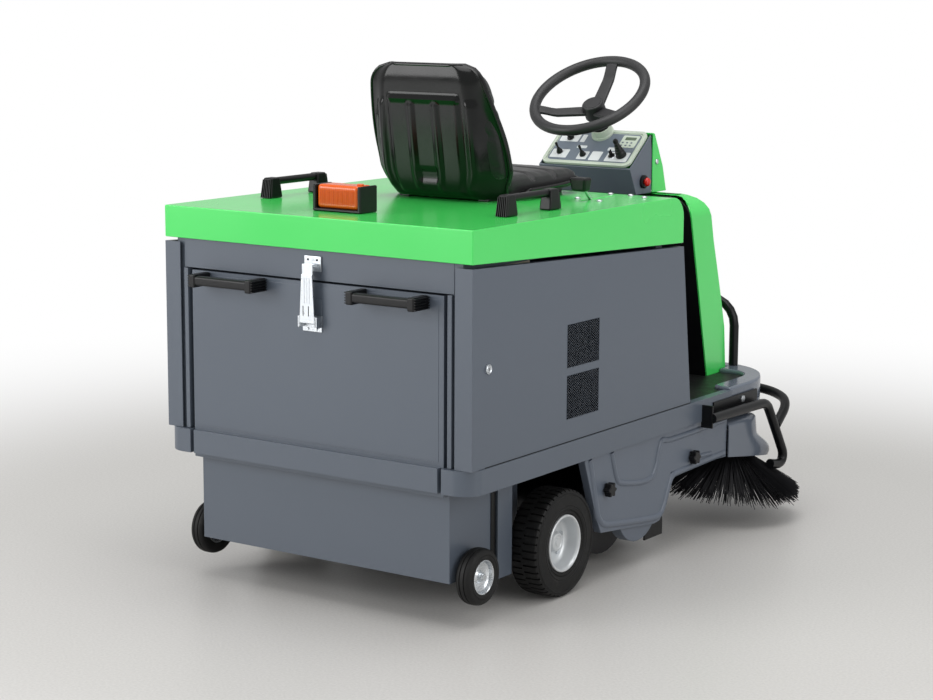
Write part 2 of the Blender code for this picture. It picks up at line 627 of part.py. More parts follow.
def broom_covers():
    outline = [(0.473, RAIL_BOTTOM - 0.0005), (0.473, 0.300), (0.530, 0.153), (0.549, 0.118), (0.800, 0.089),
               (0.8268, 0.0926), (0.8766, 0.2035), (1.1210, 0.191), (1.1210, 0.2900), (1.1595, 0.2900),
               (1.1595, RAIL_BOTTOM - 0.0005)]
    for side, word in ((1, "right"), (-1, "left")):
        span = (RAIL_HALF - 0.028, RAIL_HALF - 0.008)
        inner, outer = span if side > 0 else (-span[1], -span[0])
        cover = prism(f"broom_cover_{word}", outline, "X", inner, outer, "grey plastic")
        cap = rod("end_cap", (side * (span[0] - 0.020), BROOM_Y, 0.158), (side * (span[1] - 0.010), BROOM_Y, 0.158),
                  0.100, "grey plastic", 32)
        trim = box("cap_trim", (-0.5, 0.5), (BROOM_Y - 0.2, BROOM_Y + 0.2), (0.2, 0.4), "grey plastic")
        cut(cap, trim)
        join(cover, cap)
    knobs = (("star_knob_rear", 0.5686, 0.220), ("star_knob_front", 0.9764, 0.2245))
    face = RAIL_HALF - 0.008 + GAP
    for name, y, z in knobs:
        lobes = [(0.0175 if i % 2 else 0.0125, i) for i in range(12)]
        star = [(y + r * math.cos(math.tau * i / 12), z + r * math.sin(math.tau * i / 12)) for r, i in lobes]
        knob = prism(name, star, "X", face, face + 0.020, "black plastic")
        set_axis(knob, (face, y, z))


def side_brush():
    axis = Vector((math.sin(BRUSH_TILT), math.sin(BRUSH_TILT), 1)).normalized()
    centre = Vector((BRUSH_X, BRUSH_Y, BRUSH_Z))
    profile = [(0, 0.030), (0.026, 0.030), (0.026, 0.010), (0.060, 0.007), (BRUSH_RADIUS, -0.078),
               (BRUSH_RADIUS - 0.008, -0.090), (0.055, -0.012), (0, -0.012)]
    brush = turned("side_brush", profile, centre, axis, "bristle", 40)
    set_axis(brush, centre)
    start = centre + axis * (0.030 + GAP)
    motor = rod("side_brush_arm", start, start + axis * 0.045, 0.026, "black steel", 24)
    beam = box("arm_beam", (BRUSH_X - 0.018, BRUSH_X + 0.018), (ARM_Y, BRUSH_Y + 0.012), (ARM_Z - 0.014, ARM_Z + 0.003),
               "black steel")
    post = box("arm_post", (BRUSH_X - 0.014, BRUSH_X + 0.014), (1.200, 1.240),
               (ARM_Z, COVER_TOP - COVER_WALL - GAP), "black steel")
    eye = rod("arm_eye", (BRUSH_X - 0.0255, ARM_Y, ARM_Z), (BRUSH_X + 0.0255, ARM_Y, ARM_Z), 0.012,
              "black steel", 20)
    bore = rod("arm_bore", (BRUSH_X - 0.05, ARM_Y, ARM_Z), (BRUSH_X + 0.05, ARM_Y, ARM_Z), 0.006 + RUNNING_GAP,
               "black steel", 20)
    join(motor, beam, post, eye)
    cut(motor, bore)
    set_axis(motor, (BRUSH_X, ARM_Y, ARM_Z))
    brush_cover()


def tapered(name, low, high, paint):
    """A four-sided solid between two level rectangles, each ((x, x), (y, y), z)."""
    points = []
    for x, y, z in (low, high):
        points += [(x[0], y[0], z), (x[1], y[0], z), (x[1], y[1], z), (x[0], y[1], z)]
    faces = [(0, 1, 2, 3), (4, 5, 6, 7)] + [(i, (i + 1) % 4, (i + 1) % 4 + 4, i + 4) for i in range(4)]
    return solid(name, points, faces, paint)


def brush_cover():
    """An open-bottomed hood over the side brush's motor, open at the rear for the arm."""
    wall = COVER_WALL
    rear, top = 1.1245, COVER_TOP
    outline = [(rear, 0.196), (1.353, 0.158), (1.375, 0.168), (1.368, 0.196), (1.297, top), (rear, top)]
    inner = [(rear - 0.05, 0.196), (rear - 0.05, 0.12), (1.349, 0.12), (1.371, 0.170), (1.3635, 0.196),
             (1.295, top - wall), (rear - 0.05, top - wall)]
    shell = prism("side_brush_cover", outline, "X", 0.245, 0.443, "grey plastic")
    hollow = prism("cover_hollow", inner, "X", 0.245 + wall, 0.443 - wall, "grey plastic")
    cut(shell, hollow)


def footwell():
    half = RAIL_HALF - RAIL_DEPTH - GAP
    step = half - 0.038
    front = SHIELD_FOOT_Y - 0.010
    notch = SHIELD_HALF + 0.002
    right = [(half, 0.9460), (half, 1.1550), (step, 1.1750)]
    right += arc((step - 0.060, 1.330), 0.060, 0, 90, 4)
    right += [(notch, 1.390), (notch, front)]
    outline = right + [(-x, y) for x, y in reversed(right)]
    prism("foot_mat", outline, "Z", DECK_TOP + GAP, MAT_TOP, "black rubber")

    rim = BODY_HALF
    corner = (rim - NOSE_CORNER, NOSE_FRONT - NOSE_CORNER)
    edge = [(rim, RAIL_FRONT + GAP)] + arc(corner, NOSE_CORNER, 0, 90, 8)
    outer = edge + [(-x, y) for x, y in reversed(edge)]
    nose = prism("nose_cover", outer, "Z", NOSE_BOTTOM, NOSE_TOP, "grey plastic")
    plate_half = RAIL_HALF - RAIL_DEPTH + 0.004 + 0.001
    plate_corner = (plate_half - NOSE_CORNER, DECK_FRONT + 0.001 - NOSE_CORNER)
    edge = [(plate_half, RAIL_FRONT - 0.05)] + arc(plate_corner, NOSE_CORNER, 0, 90, 8)
    under = prism("nose_under", edge + [(-x, y) for x, y in reversed(edge)], "Z",
                  NOSE_BOTTOM - 0.01, DECK_TOP + GAP, "grey plastic")
    well = [(half + GAP, 1.10), (half + GAP, 1.1555), (step + 0.0008, 1.1755)]
    well += arc((step - 0.060, 1.330), 0.0608, 0, 90, 4)
    well += [(notch - 0.001, 1.3908), (notch - 0.001, DECK_FRONT)]
    well += [(-x, y) for x, y in reversed(well)]
    above = prism("nose_well", well, "Z", DECK_TOP, NOSE_TOP + 0.02, "grey plastic")
    cut(nose, under, above)

    foot = NOSE_TOP + GAP
    tube("front_hoop", [(-HOOP_HALF, HOOP_Y, foot), (-HOOP_HALF, HOOP_Y, HOOP_TOP),
                        (HOOP_HALF, HOOP_Y, HOOP_TOP), (HOOP_HALF, HOOP_Y, foot)], TUBE_RADIUS, 0.070, "black steel")
    bumper()
    pedals()


def bumper():
    side_x = BODY_HALF + 0.030
    face = BODY_HALF + GAP
    bracket = box("bumper", (face, side_x + 0.002), (1.005, 1.075), (0.292, 0.352), "black steel")
    strap = box("bumper_strap", (face, face + 0.006), (1.070, 1.320), (0.320, 0.366), "black steel")
    guard = tube("bumper_guard", [(side_x, 1.040, 0.321), (side_x, 1.300, 0.318), (side_x, 1.405, 0.170),
                                  (side_x, 1.375, 0.138), (side_x - 0.002, 1.335, 0.146)], TUBE_RADIUS, 0.035, "black steel")
    front = tube("bumper_front", [(side_x - 0.160, 1.5035, 0.312), (side_x - 0.075, 1.495, 0.306),
                                  (side_x - 0.012, 1.452, 0.292), (side_x, 1.360, 0.2450)],
                 TUBE_RADIUS, 0.040, "black steel")
    join(bracket, strap, guard, front)


def pedals():
    for name, x in (("accelerator_pedal", 0.150), ("brake_pedal", -0.150)):
        heel, toe = (1.185, MAT_TOP + 0.008), (1.280, MAT_TOP + 0.062)
        rise = math.atan2(toe[1] - heel[1], toe[0] - heel[0])
        lift = (-0.006 * math.sin(rise), 0.006 * math.cos(rise))
        plate = [heel, toe, (toe[0] + lift[0], toe[1] + lift[1]), (heel[0] + lift[0], heel[1] + lift[1])]
        pedal = prism(name, plate, "X", x - 0.040, x + 0.040, "black rubber")
        hinge = rod(f"{name}_hinge", (x - 0.040, heel[0], heel[1]), (x + 0.040, heel[0], heel[1]),
                    0.0075, "black rubber", 12)
        join(pedal, hinge)
        set_axis(pedal, (x, *heel))


def shield_rear(z):
    """The shield's rear plane, which leans forward towards the floor."""
    return SHIELD_FOOT_Y - SHIELD_LEAN * (z - MAT_TOP)


def shield_shape(name, inset, bottom, rear_shift):
    """The leg shield's outer shape, drawn in by inset, with rounded front edges and shoulders."""
    front = [(1.430, bottom), (1.418, 0.480), (1.396, 0.560), (1.372, 0.640), (1.347, 0.720), (1.318, SHIELD_TOP)]
    front = [(y - inset, min(z, SHIELD_TOP - inset)) for y, z in front]
    top = SHIELD_TOP - inset
    outline = [(shield_rear(bottom) + rear_shift, bottom), *front, (shield_rear(top) + rear_shift, top)]
    half = SHIELD_HALF - inset
    obj = prism(name, outline, "X", -half, half, "green paint")
    shape = bmesh.new()
    shape.from_mesh(obj.data)
    shoulders = [e for e in shape.edges if all(v.co.z > top - 1e-5 and abs(v.co.x) > half - 1e-5 for v in e.verts)]
    bmesh.ops.bevel(shape, geom=shoulders, offset=SHIELD_CORNER - inset, segments=5, affect="EDGES", profile=0.5)
    shape.to_mesh(obj.data)
    shape.free()
    return obj


def shield():
    bottom = DECK_TOP + GAP
    tray = shield_shape("leg_shield", 0, bottom, 0)
    inside = shield_shape("shield_inside", SHIELD_WALL, bottom - 0.02, -0.05)
    cut(tray, inside)

    half = SHIELD_HALF - SHIELD_WALL - GAP
    top, foot = SHIELD_TOP - SHIELD_WALL - GAP, DECK_TOP + GAP
    corner = SHIELD_CORNER - 0.002
    outline = [(half, foot)] + arc((half - corner, top - corner), corner, 0, 90, 5)
    outline += [(-x, z) for x, z in reversed(outline)]
    liner = prism("shield_liner", outline, "Y", 0.001, 0.007, "black plastic")
    for vertex in liner.data.vertices:
        vertex.co.y += shield_rear(vertex.co.z)

    foot = SHIELD_TOP + GAP
    side = [(1.2425, foot), (1.3160, foot), (1.2960, 0.912), (1.2520, 0.9985), (1.2430, 1.0010)]
    cowl = prism("cowl", side, "X", -COWL_HALF, COWL_HALF, "green paint")
    inner = [(1.2300, foot - 0.01), (1.3115, foot - 0.01), (1.2915, 0.910), (1.2490, 0.9945), (1.2300, 0.997)]
    hollow = prism("cowl_hollow", inner, "X", -COWL_HALF + 0.004, COWL_HALF - 0.004, "green paint")
    cut(cowl, hollow)


def on_dash(obj):
    """Carries a shape from the dash panel's own frame, X across, Y up the slope, Z out of it."""
    obj.data.transform(DASH_FRAME)
    return obj


def dash():
    paint = "grey plastic"
    slope = DASH_FRAME.to_3x3()

    def on_slope(along, out):
        point = DASH_LIP + slope @ Vector((0, along, out))
        return (point.y, point.z)

    under = -DASH_PANEL - GAP
    front_foot, rear_foot = 1.2420, 1.1650
    foot = SHIELD_TOP + GAP
    outline = [on_slope(-0.004, under), on_slope(DASH_DEPTH - 0.004, under), (front_foot, 0.940),
               (front_foot, foot), (rear_foot, foot)]
    half = DASH_HALF + 0.005
    case = prism("dash_body", outline, "X", -half, half, paint)
    inner = [on_slope(0.006, 0.02), on_slope(DASH_DEPTH + 0.02, 0.02), (front_foot + 0.02, 0.930),
             (front_foot + 0.02, foot + 0.004), (rear_foot + 0.005, foot + 0.004)]
    hollow = prism("dash_hollow", inner, "X", -half + 0.004, half - 0.004, paint)
    seat = rod("button_base", (half - 0.003, 1.198, 0.877), (half + 0.006, 1.198, 0.877), 0.017, paint, 24)
    bore = rod("button_bore", (half - 0.012, 1.198, 0.877), (half + 0.020, 1.198, 0.877), 0.0065, paint, 20)
    cut(case, hollow)
    join(case, seat)
    cut(case, bore)
    button = [(0, -0.001), (0.006, -0.001), (0.006, 0.010), (0.0115, 0.011), (0.0115, 0.018), (0.008, 0.021), (0, 0.021)]
    knob = turned("emergency_button", button, (half, 1.198, 0.877), (1, 0, 0), "red plastic", 24)
    set_axis(knob, (half, 1.198, 0.877))

    panel = on_dash(box("dash_panel", (-DASH_HALF, DASH_HALF), (0, DASH_DEPTH), (-DASH_PANEL, 0), "pale plastic"))
    shaft = shaft_at_panel()
    collar = rod("column_collar", shaft - STEERING_AXIS * 0.004, shaft + STEERING_AXIS * 0.020, 0.024, "pale plastic", 32)
    bore = rod("column_bore", shaft - STEERING_AXIS * 0.04, shaft + STEERING_AXIS * 0.04,
               SHAFT_RADIUS + RUNNING_GAP, "pale plastic", 20)
    join(panel, collar)
    cut(panel, bore)
    controls()


def shaft_at_panel():
    """Where the steering shaft meets the panel's face."""
    normal = DASH_FRAME.to_3x3() @ Vector((0, 0, 1))
    run = (STEERING_CENTRE - DASH_LIP).dot(normal) / STEERING_AXIS.dot(normal)
    return STEERING_CENTRE - STEERING_AXIS * run


def controls():
    """Two toggles, a rotary knob, a key switch and a booted joystick on the panel."""
    tall = (("toggle_left", -0.093, 0.040, 0.0070, 0.022), ("toggle_right", -0.019, 0.034, 0.0070, 0.022),
            ("joystick", 0.095, 0.039, 0.0115, 0.036))
    for name, x, y, radius, length in tall:
        base = Vector((x, y, radius + 0.0005))
        stick = ball(name, base, radius, "black plastic")
        handle = rod(f"{name}_stick", base, base + Vector((0, 0, length)), 0.42 * radius, "black plastic", 12)
        join(stick, handle)
        pivot = DASH_FRAME @ base
        for piece in (stick, handle):
            set_axis(on_dash(piece), pivot)
    flat = (("control_knob", -0.087, 0.096, 0.009, 0.012), ("key_switch", 0.068, 0.036, 0.008, 0.006))
    for name, x, y, radius, height in flat:
        profile = [(0, GAP), (radius, GAP), (0.8 * radius, height), (0, height)]
        knob = turned(name, profile, (x, y, 0), (0, 0, 1), "black plastic", 20)
        blade = box(f"{name}_blade", (x - 0.0015, x + 0.0015), (y - 0.7 * radius, y + 0.7 * radius),
                    (0.5 * height, height + 0.006), "black plastic")
        join(knob, blade)
        pivot = DASH_FRAME @ Vector((x, y, 0))
        for piece in (knob, blade):
            set_axis(on_dash(piece), pivot)


def steering():
    ring = arc((STEERING_RADIUS - STEERING_GRIP, 0), STEERING_GRIP, 0, 315, 7)
    wheel = turned("steering_wheel", ring, STEERING_CENTRE, STEERING_AXIS, "black plastic", 36)
    hub_top, hub_foot = -0.028, -0.075
    profile = [(0, -SHAFT_LENGTH), (SHAFT_RADIUS, -SHAFT_LENGTH), (SHAFT_RADIUS, -0.101), (0.017, -0.100),
               (0.017, hub_foot), (0.026, hub_foot), (0.026, hub_top - 0.003), (0.023, hub_top), (0, hub_top)]
    hub = turned("steering_hub", profile, STEERING_CENTRE, STEERING_AXIS, "black plastic", 24)
    forward = Vector((1, 0, 0)).cross(STEERING_AXIS) * -1
    spokes = []
    for angle in (-150, -30, 90):
        out = Vector((1, 0, 0)) * math.cos(math.radians(angle)) + forward * math.sin(math.radians(angle))
        path = [out * 0.015 - STEERING_AXIS * 0.052, out * 0.100 - STEERING_AXIS * 0.020,
                out * (STEERING_RADIUS - STEERING_GRIP)]
        spokes.append(tube("spoke", [STEERING_CENTRE + point for point in path], 0.0085, 0.05, "black plastic", 8))
    join(wheel, hub, *spokes)
    set_axis(wheel, STEERING_CENTRE)


def seat():
    half = SEAT_HALF
    base = box("seat_base", (-0.130, 0.130), (0.600, 0.720), (HOOD_TOP + GAP, HOOD_TOP + 0.005), "black steel")
    rails = [span_box(side, (0.100, 0.130), (0.500, 0.820), (HOOD_TOP + GAP, SEAT_BASE_TOP), "black steel")
             for side in (1, -1)]
    join(base, *rails)
    low, pan = SEAT_BASE_TOP + GAP, SHELL_TOP
    high = low + SEAT_BACK_HEIGHT
    top = SEAT_Y - SEAT_BACK_LEAN
    outline = [(SEAT_Y, low), (SEAT_Y + SEAT_DEPTH, low), (SEAT_Y + SEAT_DEPTH + 0.004, pan - 0.002),
               (SEAT_Y + 0.048, pan), (top + 0.012, high - 0.006), (top, high), (top - 0.016, high - 0.008),
               (SEAT_Y - 0.014, low + 0.060)]
    shell = prism("seat_shell", outline, "X", -half, half, "black plastic")
    cushion = box("seat_cushion", (-half + 0.008, half - 0.008), (SEAT_Y + 0.078, SEAT_Y + SEAT_DEPTH + 0.010),
                  (pan + 0.0005, pan + 0.040), "vinyl")
    foot, crown = pan + 0.0415, high - 0.012

    def shell_face(z):
        return SEAT_Y + 0.048 - (0.036 + SEAT_BACK_LEAN) * (z - pan) / (high - 0.006 - pan) + 0.0006

    back = [(shell_face(foot), foot), (shell_face(foot) + 0.048, foot), (shell_face(crown) + 0.040, crown),
            (shell_face(crown), crown)]
    backrest = prism("backrest_cushion", back, "X", -half + 0.008, half - 0.008, "vinyl")
    for piece in (shell, backrest):
        for vertex in piece.data.vertices:
            vertex.co.x *= 1 - 0.15 * max(0.0, vertex.co.z - pan) / SEAT_BACK_HEIGHT
    for piece in (shell, cushion, backrest):
        set_axis(piece, (0, SEAT_Y, low))


def deck_fittings():
    for side, name in ((1, "grab_handle_right"), (-1, "grab_handle_left")):
        x = side * HANDLE_X
        height = HOOD_TOP + 0.044
        grip = rod(name, (x, HANDLE_FEET_Y[0] - 0.01, height), (x, HANDLE_FEET_Y[1] + 0.01, height), 0.009,
                   "black plastic", 12)
        feet = [tapered("grab_foot", ((x - 0.016, x + 0.016), (y - 0.025, y + 0.025), HOOD_TOP + GAP),
                        ((x - 0.013, x + 0.013), (y - 0.017, y + 0.017), HOOD_TOP + 0.055), "black plastic")
                for y in HANDLE_FEET_Y]
        join(grip, *feet)
        set_axis(grip, (x, HANDLE_FEET_Y[0], HOOD_TOP))
    beacon()
    pivot_z = HOOD_TOP - LEVER_DROP
    pivot = (LEVER_X, LEVER_Y, pivot_z)
    top = (LEVER_X, LEVER_Y - 0.062, HOOD_TOP + 0.040)
    lever = rod("deck_lever", pivot, top, LEVER_ROD, "zinc steel", 12)
    knob = box("lever_knob", (LEVER_X - 0.024, LEVER_X + 0.024), (top[1] - 0.018, top[1] + 0.014),
               (top[2] - 0.010, top[2] + 0.016), "black plastic")
    join(lever, knob)
    set_axis(lever, pivot)
    set_axis(knob, pivot)


def beacon():
    low = HOOD_TOP + GAP
    half = 0.0675
    base = box("beacon_base", (BEACON_X - half, BEACON_X + half), (BEACON_Y - 0.0315, BEACON_Y + 0.0315),
               (low, low + 0.007), "black plastic")
    for side in (1, -1):
        x = sorted((BEACON_X + side * half, BEACON_X + side * (half - 0.009)))
        join(base, box("beacon_cheek", x, (BEACON_Y - 0.0315, BEACON_Y + 0.0315), (low, low + 0.060), "black plastic"))
    inner = half - 0.009 - GAP
    foot = low + 0.007 + GAP
    lens = box("beacon_lens", (BEACON_X - inner, BEACON_X + inner), (BEACON_Y - 0.0285, BEACON_Y + 0.0285),
               (foot, foot + 0.057), "amber plastic")
    hollow = box("lens_hollow", (BEACON_X - inner + 0.003, BEACON_X + inner - 0.003),
                 (BEACON_Y - 0.0255, BEACON_Y + 0.0255), (foot - 0.01, foot + 0.054), "amber plastic")
    cut(lens, hollow)


def inner_units():
    """Battery on the crossmembers, filter box between the frame rails, broom motor under the chassis."""
    battery = box("battery", (-0.240, 0.240), (0.430, 0.840), (RAIL_TOP + GAP, RAIL_TOP + 0.235), "black plastic")
    for x in (-0.2, 0.2):
        join(battery, rod("battery_post", (x, 0.47, RAIL_TOP + 0.23), (x, 0.47, RAIL_TOP + 0.25), 0.009,
                          "black plastic", 12))
    half = POST_HALF - POST_WIDTH - GAP
    box("filter_box", (-half, half), (0.060, 0.300), (CROSSBAR_BOTTOM + 0.004, FRAME_TOP - 0.040), "paper filter")
    motor = rod("broom_motor", (-0.300, 0.500, 0.235), (-0.120, 0.500, 0.235), 0.038, "black steel", 24)
    saddle = box("motor_saddle", (-0.250, -0.170), (0.475, 0.525), (0.235, CROSS_BOTTOM - GAP), "black steel")
    shaft = rod("motor_shaft", (-0.310, 0.500, 0.235), (-0.290, 0.500, 0.235), 0.010, "black steel", 16)
    join(motor, saddle, shaft)


def place_origin():
    """Hangs every piece on one empty, so that the origin is under the machine's centre on the floor."""
    bpy.context.view_layer.update()
    graph = bpy.context.evaluated_depsgraph_get()
    corners = []
    for obj in bpy.data.objects:
        if obj.hide_render:
            continue
        shape = obj.evaluated_get(graph)
        corners += [shape.matrix_world @ Vector(corner) for corner in shape.bound_box]
    low = [min(corner[i] for corner in corners) for i in range(3)]
    high = [max(corner[i] for corner in corners) for i in range(3)]
    root = bpy.data.objects.new("sweeper", None)
    bpy.context.collection.objects.link(root)
    for obj in bpy.data.objects:
        if obj is not root:
            obj.parent = root
    root.location = (-(low[0] + high[0]) / 2, -(low[1] + high[1]) / 2, -low[2])
    print("origin moved by", [round(value, 5) for value in root.location])


def main():
    clear_scene()
    chassis()
    body_frame()
    hood()
    doors()
    hopper()
    rear_wheels()
    front_wheel()
    main_broom()
    broom_covers()
    side_brush()
    footwell()
    shield()
    dash()
    steering()
    seat()
    deck_fittings()
    inner_units()
    place_origin()


main()
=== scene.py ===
# %% [markdown]
# # A ride-on sweeper, finished for show
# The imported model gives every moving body, every size and every place. This lesson keeps them
# and adds what the eye reads: paint, grain, stitching, tread, bristles and small fixings.
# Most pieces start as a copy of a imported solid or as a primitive, and are shaped with the
# same operators that a person would use by hand.

import json
import math
import random

import bpy
from mathutils import Matrix, Vector

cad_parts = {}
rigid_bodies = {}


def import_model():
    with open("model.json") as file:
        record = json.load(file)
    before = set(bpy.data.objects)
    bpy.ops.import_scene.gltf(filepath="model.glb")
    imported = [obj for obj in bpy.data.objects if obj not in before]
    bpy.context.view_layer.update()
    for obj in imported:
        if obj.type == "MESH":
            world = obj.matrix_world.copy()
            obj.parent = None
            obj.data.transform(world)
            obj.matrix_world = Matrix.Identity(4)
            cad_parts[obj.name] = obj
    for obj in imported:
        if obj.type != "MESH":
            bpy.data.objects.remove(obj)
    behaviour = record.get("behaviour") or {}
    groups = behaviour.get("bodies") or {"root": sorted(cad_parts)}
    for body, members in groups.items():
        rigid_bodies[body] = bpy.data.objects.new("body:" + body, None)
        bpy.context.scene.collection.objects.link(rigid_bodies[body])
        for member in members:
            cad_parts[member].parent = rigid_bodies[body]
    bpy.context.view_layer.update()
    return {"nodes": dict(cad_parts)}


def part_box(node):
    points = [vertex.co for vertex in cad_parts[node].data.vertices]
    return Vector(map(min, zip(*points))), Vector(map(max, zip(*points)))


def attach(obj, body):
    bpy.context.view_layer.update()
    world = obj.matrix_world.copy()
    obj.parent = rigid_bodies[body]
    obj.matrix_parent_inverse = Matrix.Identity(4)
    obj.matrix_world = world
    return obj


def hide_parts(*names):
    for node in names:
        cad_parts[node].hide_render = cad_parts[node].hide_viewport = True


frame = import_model()
NODES = frame["nodes"]

# %% [markdown]
# The drawing of this machine measures from the centre plane, the rear face of the hood and
# the floor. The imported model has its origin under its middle, so one small step turns a
# drawing position into a place in the scene. The chassis gives that step.

# %% Drawing positions
RAIL_OVERHANG = 0.008
chassis_low, chassis_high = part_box("chassis_frame")
DATUM = Vector(((chassis_low.x + chassis_high.x) / 2, chassis_low.y + RAIL_OVERHANG, 0.0))


def at(x, y, z):
    return DATUM + Vector((x, y, z))


print("drawing origin", [round(v, 4) for v in DATUM])

# %% [markdown]
# The camera stands behind the machine, to its right and above the deck. A long lens from far
# away keeps the box shape calm, with little perspective, which is how such machines are
# usually shown.

# %% Camera
VIEW_YAW = math.radians(34.712)
VIEW_PITCH = math.radians(9.7365)
VIEW_ROLL = math.radians(0.26)
LENS_MM = 84.85
CAMERA_PLACE = (3.0065, -3.7408, 1.409)

camera = bpy.data.objects.new("camera", bpy.data.cameras.new("camera"))
bpy.context.scene.collection.objects.link(camera)
camera.data.lens = LENS_MM
camera.data.sensor_width = 36.0
turn = Matrix.Rotation(VIEW_YAW, 4, "Z") @ Matrix.Rotation(math.pi / 2 - VIEW_PITCH, 4, "X")
camera.matrix_world = Matrix.Translation(at(*CAMERA_PLACE)) @ turn @ Matrix.Rotation(VIEW_ROLL, 4, "Z")
bpy.context.scene.camera = camera
print("camera", [round(v, 3) for v in camera.location])

# %% [markdown]
# A material is a small tree of nodes. One function adds a node with its settings, its fixed
# inputs and its links, and everything below is built from it. Another joins a pattern and a
# relief to the shader, as most surfaces here need. Colours are written as sRGB hex, as in a
# paint chart, and turned to linear light here.

# %% Node helpers


def linear(code):
    channels = [int(code[i : i + 2], 16) / 255 for i in (1, 3, 5)]
    return [c / 12.92 if c <= 0.04045 else ((c + 0.055) / 1.055) ** 2.4 for c in channels] + [1.0]


def add(tree, kind, settings=(), inputs=(), links=()):
    node = tree.nodes.new(kind)
    for key, value in dict(settings).items():
        setattr(node, key, value)
    for key, value in dict(inputs).items():
        node.inputs[key].default_value = value
    for key, socket in dict(links).items():
        tree.links.new(socket, node.inputs[key])
    return node


def new_material(name):
    made = bpy.data.materials.new(name)
    made.use_nodes = True
    tree = made.node_tree
    return made, tree, tree.nodes["Principled BSDF"], add(tree, "ShaderNodeTexCoord").outputs["Object"]


def surface(tree, shader, pattern, colours, rough, relief, strength, depth_mm):
    """Colour and roughness that follow a pattern, and a bump of this depth that follows a relief.

    A pattern lies mostly between 0.3 and 0.7, so the roughness runs over that part of it.
    """
    ends = {6: linear(colours[0]), 7: linear(colours[1])}
    colour = add(tree, "ShaderNodeMix", {"data_type": "RGBA"}, ends, {0: pattern}).outputs[2]
    tree.links.new(colour, shader.inputs["Base Color"])
    if rough:
        limits = {"From Min": 0.3, "From Max": 0.7, "To Min": rough[0], "To Max": rough[1]}
        spread = add(tree, "ShaderNodeMapRange", (), limits, {"Value": pattern})
        tree.links.new(spread.outputs["Result"], shader.inputs["Roughness"])
    deep = {"Strength": strength, "Distance": depth_mm / 1000}
    bump = add(tree, "ShaderNodeBump", (), deep, {"Height": relief})
    tree.links.new(bump.outputs["Normal"], shader.inputs["Normal"])
    return colour


def tune(shader, values):
    for socket, value in values.items():
        shader.inputs[socket].default_value = value


print("node helpers ready")

# %% [markdown]
# **Powder-coated steel.** The hood, doors and frame are folded steel with a baked powder
# coat. It flows out almost flat, but keeps a faint orange peel of about 2 mm, and its gloss
# is a little uneven. So the base colour hardly varies, and the detail is in the bump and the
# roughness.

# %% Powder coats


def powder_coat(name, dark, light, gloss, coat=0.0, shine=0.5):
    made, tree, shader, place = new_material(name)
    cloud = add(tree, "ShaderNodeTexNoise", (), {"Scale": 3.0, "Detail": 3.0}, {"Vector": place})
    peel = add(tree, "ShaderNodeTexNoise", (), {"Scale": 420.0, "Detail": 2.0}, {"Vector": place})
    surface(tree, shader, cloud.outputs["Fac"], (dark, light), (gloss - 0.04, gloss + 0.04),
            peel.outputs["Fac"], 0.1, 0.6)
    tune(shader, {"IOR": 1.5, "Specular IOR Level": shine, "Coat Weight": coat, "Coat Roughness": 0.15})
    return made


GREEN_COAT = powder_coat("powder-coated steel, green", "#40D05B", "#47D862", 0.24, 0.5)
GREY_COAT = powder_coat("powder-coated steel, blue grey", "#4F5762", "#545C67", 0.36)
BLACK_COAT = powder_coat("powder-coated steel, black", "#08090B", "#0C0D0F", 0.34, 0.0, 0.28)
print("powder coats ready")

# %% [markdown]
# **Moulded plastics.** ABS and polypropylene leave the mould with a fine spark-eroded grain
# of about 0.8 mm, drawn here slightly coarser so that it shows. The grain breaks up the
# highlight, so these parts look softer than the painted steel beside them.

# %% Moulded plastics


def moulded(name, dark, light, gloss, grain_mm=1.0, depth=0.25, shine=0.5):
    made, tree, shader, place = new_material(name)
    grain = add(tree, "ShaderNodeTexVoronoi", (), {"Scale": 1000 / grain_mm}, {"Vector": place})
    cloud = add(tree, "ShaderNodeTexNoise", (), {"Scale": 14.0, "Detail": 4.0}, {"Vector": place})
    surface(tree, shader, cloud.outputs["Fac"], (dark, light), (gloss - 0.05, gloss + 0.05),
            grain.outputs["Distance"], depth, 0.3)
    tune(shader, {"IOR": 1.52, "Specular IOR Level": shine})
    return made


GREY_ABS = moulded("ABS, moulded, blue grey", "#565E6A", "#5C6470", 0.38)
GLOSSY_ABS = moulded("ABS, polished mould, blue grey", "#59616D", "#5E6672", 0.17, 1.0, 0.05)
BLACK_ABS = moulded("ABS, moulded, black", "#08080A", "#0C0C0E", 0.36, 1.0, 0.25, 0.28)
BLACK_SHELL = moulded("polypropylene, moulded, black", "#050606", "#080909", 0.2, 1.4, 0.06, 0.3)
PALE_ABS = moulded("ABS, moulded, pale grey green", "#B9C4B4", "#C2CCBD", 0.45)
SLATE_FILM = moulded("polyester film, printed, slate", "#66707C", "#6C7682", 0.38, 1.2, 0.08)
WHITE_FILM = moulded("polyester film, printed, white", "#D5D9DA", "#DDE0E1", 0.35, 1.2, 0.08)
RED_PLASTIC = moulded("polycarbonate, moulded, red", "#C4160E", "#CC1E14", 0.18, 1.2, 0.04)
CREAM_PAPER = moulded("filter paper, pleated", "#CFC8B2", "#D8D2BE", 0.85, 1.6, 0.4)
print("plastics ready")

# %% [markdown]
# **Rubber and vinyl.** Rubber is dull and slightly dusty. The seat cover is expanded vinyl,
# embossed with a leather-like grain of about 2.5 mm, and it has a soft sheen.

# %% Rubber and vinyl


